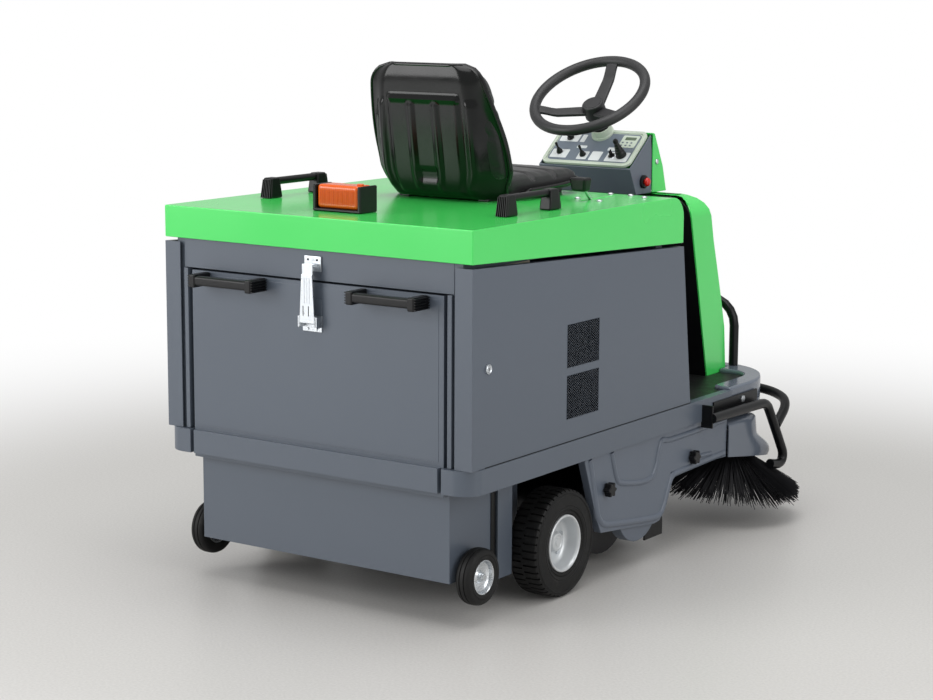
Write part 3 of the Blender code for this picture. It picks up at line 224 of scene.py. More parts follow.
def rubber(name, dark, light, gloss=0.62, dust="#3A3936", shine=0.35):
    made, tree, shader, place = new_material(name)
    soft = {"Scale": 26.0, "Detail": 6.0, "Roughness": 0.65}
    cloud = add(tree, "ShaderNodeTexNoise", (), soft, {"Vector": place}).outputs["Fac"]
    grit = add(tree, "ShaderNodeTexNoise", (), {"Scale": 900.0, "Detail": 3.0}, {"Vector": place})
    clean = surface(tree, shader, cloud, (dark, light), (gloss - 0.06, gloss + 0.08),
                    grit.outputs["Fac"], 0.35, 0.5)
    limits = {"From Min": 0.55, "From Max": 0.8, "To Max": 0.45}
    film = add(tree, "ShaderNodeMapRange", (), limits, {"Value": cloud})
    dusty = add(tree, "ShaderNodeMix", {"data_type": "RGBA"}, {7: linear(dust)},
                {0: film.outputs["Result"], 6: clean})
    tree.links.new(dusty.outputs[2], shader.inputs["Base Color"])
    tune(shader, {"Specular IOR Level": shine})
    return made


TYRE_RUBBER = rubber("rubber, vulcanised, tyre", "#070707", "#0C0C0C")
MAT_RUBBER = rubber("rubber, calendered, mat", "#070808", "#0B0C0C", 0.45, "#161616")


def vinyl(name, dark, light):
    made, tree, shader, place = new_material(name)
    grain = {"Scale": 400.0, "Smoothness": 0.4}
    cells = add(tree, "ShaderNodeTexVoronoi", {"feature": "SMOOTH_F1"}, grain, {"Vector": place})
    fold = add(tree, "ShaderNodeTexNoise", (), {"Scale": 40.0, "Detail": 5.0}, {"Vector": place})
    surface(tree, shader, fold.outputs["Fac"], (dark, light), (0.38, 0.5),
            cells.outputs["Distance"], 0.45, 0.5)
    tune(shader, {"Sheen Weight": 0.15, "Specular IOR Level": 0.32})
    return made


SEAT_VINYL = vinyl("PVC, expanded and embossed, black", "#0A0A0C", "#0F0F12")
print("rubber and vinyl ready")

# %% [markdown]
# **Bright metal.** Zinc plate on latches, bolts and small rims is a cool grey with faint
# clouding. Rolled and turned parts carry fine scratches. The wheel centres are sprayed with
# silver paint, which is softer and whiter.

# %% Metals


def plated(name, dark, light, gloss, streak=(1.0, 1.0, 12.0)):
    made, tree, shader, place = new_material(name)
    turned = add(tree, "ShaderNodeMapping", (), {"Scale": streak}, {"Vector": place})
    fine = {"Scale": 120.0, "Detail": 5.0}
    marks = add(tree, "ShaderNodeTexNoise", (), fine, {"Vector": turned.outputs["Vector"]}).outputs["Fac"]
    surface(tree, shader, marks, (dark, light), (gloss - 0.07, gloss + 0.07), marks, 0.12, 0.4)
    tune(shader, {"Metallic": 1.0})
    return made


ZINC = plated("steel, zinc plated", "#C3C8CC", "#DADDE0", 0.26)
SILVER = powder_coat("steel, sprayed silver", "#C9CCCE", "#D3D6D8", 0.36)
tune(SILVER.node_tree.nodes["Principled BSDF"], {"Metallic": 0.55})
print("metals ready")

# %% [markdown]
# **Amber lens.** The beacon is moulded in clear amber polycarbonate. It lets some light
# through and glows at its edges, so it has transmission and only a little roughness.

# %% Lens and bristle
AMBER, amber_tree, amber_shader, amber_place = new_material("polycarbonate, moulded, amber")
across_x = {"bands_direction": "X"}
wave = add(amber_tree, "ShaderNodeTexWave", across_x, {"Scale": 60.0}, {"Vector": amber_place})
ripple = wave.outputs["Fac"]
surface(amber_tree, amber_shader, ripple, ("#E2540C", "#EE6816"), None, ripple, 0.25, 0.6)
tune(amber_shader, {"Roughness": 0.16, "Transmission Weight": 0.15})

NYLON = moulded("nylon, drawn bristle, black", "#121214", "#2A2A2D", 0.42, 2.0, 0.2, 0.35)
print("lens and bristle ready")

# %% [markdown]
# **Working by hand, in code.** An operator acts on all that is selected, so every step starts
# by clearing the selection. A finished piece has its place in its mesh and its object at the
# origin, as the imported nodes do.

# %% Operator helpers


def deselect():
    if bpy.context.mode != "OBJECT":
        bpy.ops.object.mode_set(mode="OBJECT")
    bpy.ops.object.select_all(action="DESELECT")


def only(*objects):
    deselect()
    for obj in objects:
        obj.select_set(True)
    bpy.context.view_layer.objects.active = objects[0]


def named(name):
    """The primitive just added, with its name and its place in its mesh."""
    obj = bpy.context.active_object
    obj.name = obj.data.name = name
    bpy.ops.object.transform_apply(location=True, rotation=True, scale=True)
    return obj


SIDES = ((1, "right"), (-1, "left"))


def block(name, corner, opposite):
    """A block between two opposite corners, given in any order."""
    deselect()
    near, far = at(*corner), at(*opposite)
    bpy.ops.mesh.primitive_cube_add(size=1, location=(near + far) / 2, scale=[abs(v) for v in far - near])
    return named(name)


def drum(name, centre, axis, radius, depth, sides=32):
    deselect()
    facing = Vector((0, 0, 1)).rotation_difference(Vector(axis)).to_euler()
    bpy.ops.mesh.primitive_cylinder_add(vertices=sides, radius=radius, depth=depth, location=at(*centre),
                                        rotation=facing)
    return named(name)


def edit(obj, mode="VERT", action="DESELECT"):
    only(obj)
    bpy.ops.object.mode_set(mode="EDIT")
    bpy.ops.mesh.select_mode(type=mode)
    bpy.ops.mesh.select_all(action=action)


def edit_all(obj):
    edit(obj, action="SELECT")


def object_mode():
    bpy.ops.object.mode_set(mode="OBJECT")


def pick(obj, kind, test):
    """Selects the faces or edges that pass the test, opens edit mode on them and counts them."""
    edit(obj, "FACE" if kind == "polygons" else "EDGE")
    object_mode()
    found = 0
    for item in getattr(obj.data, kind):
        if kind == "polygons":
            item.select = test(item.center, item.normal)
        else:
            item.select = test(*[obj.data.vertices[i].co for i in item.vertices])
        found += item.select
    bpy.ops.object.mode_set(mode="EDIT")
    return found


def apply(obj, kind, **settings):
    """Adds one modifier and applies it at once."""
    only(obj)
    modifier = obj.modifiers.new(kind.title(), kind)
    for key, value in settings.items():
        setattr(modifier, key, value)
    bpy.ops.object.modifier_apply(modifier=modifier.name)
    return obj


def rounded(obj, width, segments=2, angle=30):
    return apply(obj, "BEVEL", width=width, segments=segments, limit_method="ANGLE",
                 angle_limit=math.radians(angle))


def slab(name, corner, opposite, radius, segments=2):
    return rounded(block(name, corner, opposite), radius, segments)


def taper(obj, end, scale, centre):
    """Makes the top (1) or the foot (-1) of a block smaller about this centre."""
    pick(obj, "polygons", lambda place, normal: normal.z * end > 0.9)
    bpy.ops.transform.resize(value=(*scale, 1.0), center_override=at(*centre))
    object_mode()


def clamp(value):
    return min(1.0, max(0.0, value))


def all_outward(obj):
    edit_all(obj)
    bpy.ops.mesh.remove_doubles(threshold=0.00002)
    bpy.ops.mesh.normals_make_consistent(inside=False)
    object_mode()
    return obj


def finish(obj, body, material, stands_for=(), angle=35):
    """Last step of every piece: soft shading between flat faces, its material and its body."""
    only(obj)
    bpy.ops.object.shade_smooth_by_angle(angle=math.radians(angle))
    apply(obj, "WEIGHTED_NORMAL", keep_sharp=True)
    obj.data.materials.clear()
    obj.data.materials.append(material)
    if stands_for:
        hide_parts(*stands_for)
    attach(obj, body)
    return obj


def merged(name, pieces):
    only(*pieces)
    if len(pieces) > 1:
        bpy.ops.object.join()
    obj = bpy.context.active_object
    obj.name = obj.data.name = name
    return obj


print("operator helpers ready")

# %% [markdown]
# **Folded and moulded edges.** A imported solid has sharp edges. Real folded steel turns over a
# radius of a few millimetres, and a moulding has softer corners still. A copy of the packed
# mesh is merged, its flat faces are dissolved to single polygons, and a bevel rounds each
# edge. That small radius is what catches the light.

# %% Softened copies


def copy_of(name, node):
    only(NODES[node])
    bpy.ops.object.duplicate()
    obj = bpy.context.active_object
    bpy.ops.object.parent_clear(type="CLEAR_KEEP_TRANSFORM")
    for key in list(obj.keys()):
        del obj[key]
    obj.name = obj.data.name = name
    edit_all(obj)
    bpy.ops.mesh.remove_doubles(threshold=0.00001)
    bpy.ops.mesh.dissolve_limited(angle_limit=math.radians(0.5))
    object_mode()
    return obj


SOFTENED = [
    # name, node, body, material, radius of the edges, segments
    ("hood_shell", "hood", "machine", GREEN_COAT, 0.0035, 3),
    ("rear_frame", "body_frame", "machine", GREY_COAT, 0.0015, 2),
    ("lower_frame", "chassis_frame", "machine", GREY_COAT, 0.003, 3),
    ("waste_hopper", "hopper_bin", "hopper", GREY_COAT, 0.002, 3),
    ("floor_mat", "foot_mat", "machine", MAT_RUBBER, 0.002, 2),
    ("nose_moulding", "nose_cover", "machine", GLOSSY_ABS, 0.01, 5),
    ("shield_tray", "leg_shield", "machine", GREEN_COAT, 0.003, 3),
    ("shield_panel", "shield_liner", "machine", BLACK_ABS, 0.002, 2),
    ("column_cover", "cowl", "machine", GREEN_COAT, 0.003, 3),
    ("dash_case", "dash_body", "machine", GREY_ABS, 0.004, 4),
    ("brush_arm", "side_brush_arm", "side_brush_arm", BLACK_COAT, 0.0012, 2),
    ("broom_box", "broom_housing", "machine", BLACK_COAT, 0.0012, 2),
    ("fork", "front_fork", "front_fork", BLACK_COAT, 0.0015, 2),
    ("seat_rails", "seat_base", "machine", BLACK_COAT, 0.0012, 2),
    ("drive_battery", "battery", "machine", BLACK_ABS, 0.006, 3),
    ("broom_drive", "broom_motor", "machine", BLACK_COAT, 0.0015, 2),
    ("pedal_right", "accelerator_pedal", "accelerator_pedal", MAT_RUBBER, 0.0016, 2),
    ("right_door", "door_right", "door_right", GREY_COAT, 0.0022, 3),
    ("left_door", "door_left", "door_left", GREY_COAT, 0.0022, 3),
    ("hand_hoop", "front_hoop", "machine", BLACK_COAT, 0.0008, 1),
    ("right_broom_cover", "broom_cover_right", "machine", GREY_ABS, 0.0035, 4),
    ("left_broom_cover", "broom_cover_left", "machine", GREY_ABS, 0.0035, 4),
    ("beacon_bracket", "beacon_base", "machine", BLACK_ABS, 0.003, 4),
    ("pedal_left", "brake_pedal", "brake_pedal", MAT_RUBBER, 0.0016, 2),
]
RAIL_FACE, RAIL_PROUD = 0.428, 0.0045
RAIL_BLEND = 0.018
COVER_CUT, COVER_END = 1.1, 1.161
NOSE_SIDE, NOSE_FRONT, NOSE_OLD, NOSE_NEW = 0.43, 1.49, 0.13, 0.22
NOSE_CUTS = (0.0, 0.045)


def ease_nose(piece):
    """Gives the moulding's front corners a larger sweep than the solid's, by drawing their points in."""
    corner_x, corner_y = NOSE_SIDE - NOSE_NEW, NOSE_FRONT - NOSE_NEW
    for extra in NOSE_CUTS:
        x, y = corner_x + extra, corner_y + extra
        for place, normal in (((0, y, 0), (0, 1, 0)), ((x, 0, 0), (1, 0, 0)), ((-x, 0, 0), (1, 0, 0))):
            edit_all(piece)
            bpy.ops.mesh.bisect(plane_co=at(*place), plane_no=normal)
    object_mode()
    for vertex in piece.data.vertices:
        place = vertex.co - DATUM
        out_x, out_y = abs(place.x) - corner_x, place.y - corner_y
        if min(out_x, out_y) <= 0.0:
            continue
        reach = math.hypot(out_x, out_y)
        along_x, along_y, inner = out_x / reach, out_y / reach, NOSE_NEW - NOSE_OLD
        edge = NOSE_NEW / max(along_x, along_y)
        if edge * min(along_x, along_y) > inner:
            middle = inner * (along_x + along_y)
            edge = middle + math.sqrt(max(0.0, middle ** 2 - 2 * inner ** 2 + NOSE_OLD ** 2))
        drawn = 1 - (1 - NOSE_NEW / edge) * min(1.0, reach / edge) ** 6
        vertex.co.x = DATUM.x + math.copysign(corner_x + out_x * drawn, place.x)
        vertex.co.y = DATUM.y + corner_y + out_y * drawn


for name, node, body, material, radius, segments in SOFTENED:
    piece = copy_of(name, node)
    if name.endswith("broom_cover"):
        # The moulding runs on to the side brush's cover and stops just short of it.
        for vertex in piece.data.vertices:
            if vertex.co.y - DATUM.y > COVER_CUT:
                vertex.co.y = DATUM.y + COVER_END
    if name == "lower_frame":
        # The side rail stands a little proud of the doors above it, as folded channel does.
        for vertex in piece.data.vertices:
            across = vertex.co.x - DATUM.x
            share = clamp((abs(across) - RAIL_FACE + RAIL_BLEND) / RAIL_BLEND)
            vertex.co.x += math.copysign(RAIL_PROUD * share, across)
    rounded(piece, radius, segments)
    if name == "nose_moulding":
        ease_nose(piece)
    finish(piece, body, material, [node])
    print(name, len(piece.data.polygons), "faces")

# %% [markdown]
# **Turned pieces.** Wheels, knobs and bolts are turned shapes. One vertex is extruded along the
# outline of half a section, and the outline is spun round the axis. The outline is written as
# radius and height pairs in millimetres, as on a lathe drawing.

# %% Lathe


def chain(name, places):
    deselect()
    bpy.ops.mesh.primitive_plane_add(size=0.01, location=places[0])
    obj = named(name)
    edit_all(obj)
    bpy.ops.mesh.merge(type="CENTER")
    for here, there in zip(places, places[1:]):
        bpy.ops.mesh.extrude_vertices_move(TRANSFORM_OT_translate={"value": there - here})
    object_mode()
    return obj


def spun(name, outline, centre, axis, steps=48):
    middle, axis = at(*centre), Vector(axis).normalized()
    out = axis.orthogonal().normalized()
    obj = chain(name, [middle + axis * (height / 1000) + out * (radius / 1000) for radius, height in outline])
    edit_all(obj)
    bpy.ops.mesh.spin(steps=steps, angle=2 * math.pi, center=middle, axis=axis)
    object_mode()
    return all_outward(obj)


def repeated(obj, places):
    """Copies of a piece, each with its own mesh, moved by a matrix; the pattern piece goes."""
    copies = []
    for place in places:
        made = obj.copy()
        made.data = obj.data.copy()
        made.data.transform(place)
        bpy.context.scene.collection.objects.link(made)
        copies.append(made)
    bpy.data.objects.remove(obj)
    return copies


def row(obj, pitch, counts, axis=0):
    """Copies of a piece at these counts of the pitch, along x, y or z (0, 1 or 2)."""
    steps = [[pitch * n if i == axis else 0.0 for i in range(3)] for n in counts]
    return repeated(obj, [Matrix.Translation(step) for step in steps])


def round_about(centre, axis, angle):
    middle = Matrix.Translation(at(*centre))
    return middle @ Matrix.Rotation(angle, 4, Vector(axis)) @ middle.inverted()


def hex_bolt(name, centre, axis, across, height):
    """A hexagon head with a chamfered crown, standing on its centre."""
    axis = Vector(axis).normalized()
    head = drum(name, Vector(centre) + axis * height / 2, axis, across / 2, height, 6)
    return rounded(head, height * 0.18, 2)


print("lathe ready")

# %% [markdown]
# **Rear tyres.** The drive wheels carry a block tread: two staggered rows of short grooves
# across a nearly flat crown, and rings on the side walls. The tyre is spun in steps of two
# degrees, so a groove is one step wide. The faces of every fourth step are picked, half of
# them in the outer row and half, two steps on, in the inner row, and pushed in.

# %% Rear tyres
WHEEL_Y, WHEEL_Z = 0.397, 0.125
TYRE_WALL = 0.34
TREAD_STEPS, GROOVE_EVERY, GROOVE_DEEP = 180, 4, 0.0045
OUTER_ROW, INNER_ROW, CROWN_RADIUS = (0.0415, 0.076), (0.004, 0.0365), 0.1165

TYRE_OUTLINE = [
    (66.8, 7), (72, 3), (90, 0), (112, 0.5), (119, 2.5), (123.5, 6), (124.8, 11), (125, 18), (125, 37),
    (125, 41), (125, 62), (124.8, 69), (123.5, 73.5), (120, 76.5), (116.5, 77.2), (115, 79.2),
    (113, 79.4), (111.5, 77.8), (98, 79), (89, 79.7), (86.5, 78.5), (84, 79.7), (79, 78.5),
    (76.5, 75.5), (74, 76.8), (70, 75.8), (66.8, 73), (66.8, 7),
]


def rear_tyre(word, side):
    centre = (side * TYRE_WALL, WHEEL_Y, WHEEL_Z)
    tyre = spun(f"treaded_tyre_{word}", TYRE_OUTLINE, centre, (side, 0, 0), TREAD_STEPS)
    middle = at(*centre)

    def in_groove(place, normal):
        spoke = place - middle
        radius, depth = math.hypot(spoke.y, spoke.z), spoke.x * side
        step = int((math.degrees(math.atan2(spoke.z, spoke.y)) % 360) / 2) % GROOVE_EVERY
        outer = OUTER_ROW[0] < depth < OUTER_ROW[1] and step == 0
        inner = INNER_ROW[0] < depth < INNER_ROW[1] and step == GROOVE_EVERY // 2
        return radius > CROWN_RADIUS and (outer or inner)

    grooves = pick(tyre, "polygons", in_groove)
    bpy.ops.mesh.extrude_region_shrink_fatten(TRANSFORM_OT_shrink_fatten={"value": -GROOVE_DEEP})
    object_mode()
    print("tyre", word, "grooved faces", grooves)
    return finish(tyre, f"rear_wheel_{word}", TYRE_RUBBER, [f"rear_tyre_{word}"], angle=25)


for side, word in SIDES:
    rear_tyre(word, side)

# %% [markdown]
# **Rear rims.** A pressed steel dish, sprayed silver: a rolled lip, a deep barrel, a flat
# bolt circle with five bolts and a raised hub with a turned ring.

# %% Rear rims
RIM_OUTLINE = [
    (0, 58), (8, 58), (9, 56.2), (15, 56.2), (16.5, 57.5), (20, 57), (22.5, 54), (23.5, 48), (26, 43),
    (30, 41), (44, 39.5), (50, 40.5), (54.5, 44.5), (56.5, 50), (58, 69), (60, 75.5), (62.5, 77.8),
    (65, 77.8), (66.6, 76.2), (66.6, 7), (62, 7), (56, 20), (54, 37), (30, 34), (24, 6), (12.6, 6),
    (12.6, 54.5), (0, 54.5),
]


def rear_rim(word, side):
    centre = (side * TYRE_WALL, WHEEL_Y, WHEEL_Z)
    dish = spun(f"dished_rim_{word}", RIM_OUTLINE, centre, (side, 0, 0), 64)
    finish(dish, f"rear_wheel_{word}", SILVER, [f"rear_rim_{word}"])
    foot = (side * (TYRE_WALL + 0.0395), WHEEL_Y, WHEEL_Z + 0.037)
    bolt = hex_bolt("wheel_bolt", foot, (side, 0, 0), 0.012, 0.006)
    turns = [round_about(centre, (1, 0, 0), math.radians(72 * n)) for n in range(5)]
    bolts = merged(f"wheel_bolts_{word}", repeated(bolt, turns))
    finish(bolts, f"rear_wheel_{word}", ZINC)


for side, word in SIDES:
    rear_rim(word, side)
print("rims ready")

# %% [markdown]
# **Hopper wheels.** Small solid tyres with three fine grooves, pressed on a zinc dish. A hex
# bolt holds each on its stub, and the dish is deep enough to hide the washer.

# %% Hopper wheels
STUB_X, STUB_Y, STUB_Z = 0.362, 0.096, 0.11
SMALL_TYRE = [
    (38, 2), (44, 0.2), (56, 0.2), (60.5, 3), (62.8, 8), (63.5, 12), (61.5, 12.8), (61.5, 14.2),
    (63.6, 15), (63.6, 23), (61.5, 23.8), (61.5, 25.2), (63.4, 26), (62.4, 31), (60, 35), (56, 37.8),
    (50, 37.9), (48.5, 36.6), (47, 37.9), (43, 37.4), (40, 36.4), (38, 34), (38, 2),
]
SMALL_DISH = [
    (0, 35.8), (8.5, 35.8), (10, 33.5), (11, 25), (15, 21.5), (27, 22.5), (33, 27), (35.5, 35),
    (37, 36.8), (38.4, 36.2), (38.4, 3), (34, 3), (30, 18), (16, 16.5), (14, 0.5), (6.8, 0.5),
    (6.8, 34.4), (0, 34.4),
]
for side, word in SIDES:
    centre, body = (side * STUB_X, STUB_Y, STUB_Z), f"hopper_wheel_{word}"
    ring = spun(f"small_tyre_{word}", SMALL_TYRE, centre, (side, 0, 0), 64)
    finish(ring, body, TYRE_RUBBER, [f"hopper_wheel_{word}"])
    finish(spun(f"small_dish_{word}", SMALL_DISH, centre, (side, 0, 0), 48), body, ZINC)
    foot = (side * (STUB_X + 0.035), STUB_Y, STUB_Z)
    head = hex_bolt(f"small_bolt_{word}", foot, (side, 0, 0), 0.016, 0.0028)
    finish(head, body, ZINC)
print("hopper wheels ready")

# %% [markdown]
# **Seat shell.** The seat is a one-piece moulding: a tall back with a rolled edge, swept at the
# foot into the pan. A grid is laid along the line of the back and the pan, its points are moved
# onto that line, and Solidify gives the wall. The back carries pressed ribs: one across near
# the top and four down from it, with a shallow hand recess low in the middle. They are part of
# the same sheet, so they are raised in the grid before it gets its thickness.

# %% Seat shell
SHELL_LINE = [
    (0.414, 1.199), (0.409, 1.18), (0.418, 1.12), (0.429, 1.05), (0.44, 0.98), (0.449, 0.93),
    (0.459, 0.902), (0.476, 0.888), (0.5, 0.885), (0.62, 0.885), (0.72, 0.887), (0.805, 0.893),
    (0.838, 0.898),
]
SHELL_TOP, SHELL_FRONT = 1.199, 0.838
TOP_HALF, FOOT_HALF = 0.158, 0.185


def along_line(line, share):
    """The point at this share of the line's length, and its direction there."""
    steps = [math.dist(a, b) for a, b in zip(line, line[1:])]
    left = share * sum(steps)
    for (a, b), step in zip(zip(line, line[1:]), steps):
        if left <= step or (a, b) == (line[-2], line[-1]):
            t = left / step
            direction = Vector((b[0] - a[0], b[1] - a[1])).normalized()
            return Vector((a[0] + (b[0] - a[0]) * t, a[1] + (b[1] - a[1]) * t)), direction
        left -= step


def smooth_step(value, low, high):
    t = clamp((value - low) / (high - low))
    return t * t * (3 - 2 * t)


def ridge(value, centre, half, slope):
    return 1 - smooth_step(abs(value - centre), half, half + slope)


def rib_height(x, z):
    """How far the back stands out to the rear at this place: a raised field with four ribs down it."""
    if z < 0.9:
        return 0.0
    field = (1 - smooth_step(z, 1.117, 1.126)) * (1 - smooth_step(abs(x), 0.094, 0.104))
    ribs = max(ridge(abs(x), 0.035, 0.005, 0.006), ridge(abs(x), 0.128, 0.006, 0.008))
    ribs *= smooth_step(z, 0.9, 0.915) * (1 - smooth_step(z, 1.108, 1.118))
    brow = ridge(z, 1.1215, 0.0045, 0.005) * (1 - smooth_step(abs(x), 0.094, 0.104))
    recess = ridge(x, 0.0, 0.027, 0.006) * ridge(z, 0.943, 0.012, 0.005)
    return 0.006 * field + 0.0045 * ribs + 0.005 * brow - 0.006 * recess


def softened_line(line, count=60, rounds=3):
    """The same line with its corners eased, as evenly spaced points."""
    points = [tuple(along_line(line, n / count)[0]) for n in range(count + 1)]
    for _ in range(rounds):
        trios = zip(points, points[1:], points[2:])
        inner = [tuple((a[i] + 2 * b[i] + c[i]) / 4 for i in (0, 1)) for a, b, c in trios]
        points = [points[0], *inner, points[-1]]
    return points


EASED_LINE = softened_line(SHELL_LINE)
CORNER = 0.048


def half_width(z):
    return FOOT_HALF + (TOP_HALF - FOOT_HALF) * smooth_step(z, 1.0, 1.23) * 1.25


def drawn_in(share):
    """How far a quarter circle has drawn in at this share of its radius."""
    return 1 - math.sqrt(max(0.0, 1 - min(1.0, share) ** 2))


def shell_point(across, share):
    """A place on the shell: across runs from -1 to 1, share from the top edge to the front of the pan."""
    y, z = along_line(EASED_LINE, share)[0]
    pull = drawn_in(max(z - (SHELL_TOP - CORNER), y - (SHELL_FRONT - CORNER), 0.0) / CORNER)
    x = across * (half_width(z) - CORNER * pull * abs(across))
    wrap = smooth_step(abs(across), 0.66, 1.0)
    reach = 0.016 + 0.046 * smooth_step(SHELL_TOP - z, 0.0, 0.27)
    forward = reach * wrap * (1 - smooth_step(y, 0.47, 0.62)) - rib_height(x, z)
    low_sides = 1 - 0.14 * (1 - smooth_step(z, 0.887, 0.96)) * smooth_step(y, 0.58, 0.44)
    return at(x * low_sides, y + forward, z + 0.02 * wrap * smooth_step(y, 0.48, 0.6))


def moulded_sheet(name, columns, rows, place, wall):
    """A grid laid out by a rule of across (-1 to 1) and down (0 to 1), then given its wall."""
    deselect()
    bpy.ops.mesh.primitive_grid_add(x_subdivisions=columns, y_subdivisions=rows, size=2)
    sheet = named(name)
    for vertex in sheet.data.vertices:
        vertex.co = place(vertex.co.x, (1 - vertex.co.y) / 2)
    all_outward(sheet)
    return apply(sheet, "SOLIDIFY", thickness=wall, offset=0.0)


shell = moulded_sheet("moulded_seat_shell", 72, 110, shell_point, 0.0035)
finish(shell, "seat", BLACK_SHELL, ["seat_shell"], angle=50)
print("seat shell", len(shell.data.polygons), "faces")

# %% [markdown]
# **Rolled edge.** The free edge of the moulding is turned over into a bead. It follows the
# outline of the back, so it is a curve with a round bevel through the edge points, made a mesh.

# %% Rolled edge


def bead(name, places, radius, sides=3):
    data = bpy.data.curves.new(name, "CURVE")
    data.dimensions = "3D"
    data.bevel_depth = radius
    data.bevel_resolution = sides
    data.use_fill_caps = True
    spline = data.splines.new("POLY")
    spline.points.add(len(places) - 1)
    for point, place in zip(spline.points, places):
        point.co = (*place, 1.0)
    obj = bpy.data.objects.new(name, data)
    bpy.context.scene.collection.objects.link(obj)
    only(obj)
    bpy.ops.object.convert(target="MESH")
    obj = bpy.context.active_object
    obj.data.name = name
    return obj


def back_edge(forward):
    """Points round the shell's edge from the front of the pan, over the back and down again."""
    side = [shell_point(1.0, share / 80) for share in range(80, -1, -1)]
    top = [shell_point(1.0 - across / 8, 0.0) for across in range(1, 16)]
    other = [shell_point(-1.0, share / 80) for share in range(0, 81)]
    return [place + Vector((0, forward, 0)) for place in side + top + other]


edge = bead("rolled_seat_edge", back_edge(0.0), 0.0042)
finish(edge, "seat", BLACK_SHELL)

# %% [markdown]
# **Cushions.** The upholstery is a foam pad under embossed vinyl. Each pad starts as a box with
# rounded corners, cut into fine faces, and a short cloth simulation blows it up a little, so its
# faces crown and its sides pull in. The sewn channels are pressed in afterwards.

# %% Cushions


def swell(pad, reach):
    """Cloth with a little pressure, applied, and no point moved further than reach."""
    apply(pad, "REMESH", mode="VOXEL", voxel_size=0.005)
    before = [vertex.co.copy() for vertex in pad.data.vertices]
    cloth = pad.modifiers.new("Cloth", "CLOTH")
    cloth.settings.quality = 5
    cloth.settings.use_pressure = True
    cloth.settings.uniform_pressure_force = 4.0
    cloth.settings.effector_weights.gravity = 0.0
    for number in range(1, 21):
        bpy.context.scene.frame_set(number)
    only(pad)
    bpy.ops.object.modifier_apply(modifier="Cloth")
    bpy.context.scene.frame_set(1)
    for vertex, start in zip(pad.data.vertices, before):
        move = vertex.co - start
        if move.length > reach:
            vertex.co = start + move.normalized() * reach
    return pad


def crowned(pad, low, high, crown):
    """Raises the middle of each face of a pad, so that it isn't flat before it swells."""
    low, high = at(*low), at(*high)
    middle, half = (low + high) / 2, (high - low) / 2
    for vertex in pad.data.vertices:
        share = [(vertex.co[i] - middle[i]) / half[i] for i in range(3)]
        for i in range(3):
            j, k = (i + 1) % 3, (i + 2) % 3
            vertex.co[i] += crown[i] * share[i] * max(0.0, 1 - share[j] ** 2) * max(0.0, 1 - share[k] ** 2)
    return pad


def seat_pad(name, low, high, corner, crown, reach):
    pad = block(name, low, high)
    edit_all(pad)
    bpy.ops.mesh.bevel(offset=corner, segments=4, affect="EDGES")
    object_mode()
    apply(pad, "REMESH", mode="VOXEL", voxel_size=0.006)
    return swell(crowned(pad, low, high, crown), reach)


def channel_depth(place, first, second, deep):
    """How deep a sewn channel is here: there are two, 14 mm to each side."""
    near = 1 - min(abs(place - first), abs(place - second)) / 0.014
    return deep * smooth_step(near, 0, 1)


PAN_LOW, PAN_HIGH = (-0.166, 0.53, 0.896), (0.166, 0.842, 0.935)
pan = seat_pad("seat_pad", PAN_LOW, PAN_HIGH, 0.012, (0.004, 0.004, 0.006), 0.005)
for vertex in pan.data.vertices:
    if vertex.co.z > 0.927:
        vertex.co.z -= channel_depth(vertex.co.y - DATUM.y, 0.64, 0.735, 0.01)
apply(pan, "SUBSURF", levels=1, render_levels=1)
finish(pan, "seat", SEAT_VINYL, ["seat_cushion"], angle=80)

BACK_LOW, BACK_HIGH = (-0.158, 0.422, 0.93), (0.158, 0.472, 1.188)
back = seat_pad("back_pad", BACK_LOW, BACK_HIGH, 0.014, (0.004, 0.007, 0.004), 0.006)
for vertex in back.data.vertices:
    x, z = vertex.co.x - DATUM.x, vertex.co.z
    side_pull = 1 - 0.24 * drawn_in(max(0.0, (z - 1.14) / 0.047))
    vertex.co.x = DATUM.x + x * side_pull * (half_width(z) - 0.004) / 0.158
    in_front = vertex.co.y - DATUM.y > 0.455
    vertex.co.y += 0.062 * (1.19 - z) / 0.26
    if in_front:
        vertex.co.y -= channel_depth(z, 1.03, 1.105, 0.009)
apply(back, "SUBSURF", levels=1, render_levels=1)
finish(back, "seat", SEAT_VINYL, ["backrest_cushion"], angle=80)
print("pads", len(pan.data.polygons), len(back.data.polygons))

# %% [markdown]
# **Piping.** A sewn cord runs round the edge of the back where the vinyl meets the shell. Its
# fine cross ribs are pleats of the vinyl pulled over the cord.

# %% Piping
upper_edge = [place for place in back_edge(0.007) if place.z > 0.92]
pipe = bead("ribbed_piping", upper_edge, 0.0046)
finish(pipe, "seat", SEAT_VINYL)
print("piping ready")

# %% [markdown]
# **Steering wheel.** A thick rim of grained foam, three flat spokes that bend up to it, and a
# tall hub cap over the shaft nut. The rim is a torus laid in the plane of the wheel. A spoke is
# a flat bar that is cut twice across, raised at its outer end and bevelled.

# %% Steering wheel
WHEEL_TILT = math.radians(34.2)
WHEEL_CENTRE = Vector((0.0, 1.1545, 1.097))
WHEEL_AXIS = Vector((0.0, -math.sin(WHEEL_TILT), math.cos(WHEEL_TILT)))
WHEEL_PLACE = Matrix.Translation(at(*WHEEL_CENTRE)) @ Matrix.Rotation(WHEEL_TILT, 4, "X")

deselect()
bpy.ops.mesh.primitive_torus_add(major_radius=0.1492, minor_radius=0.0138, major_segments=96,
                                 minor_segments=20)
rim = named("wheel_rim")
rim.data.transform(WHEEL_PLACE)


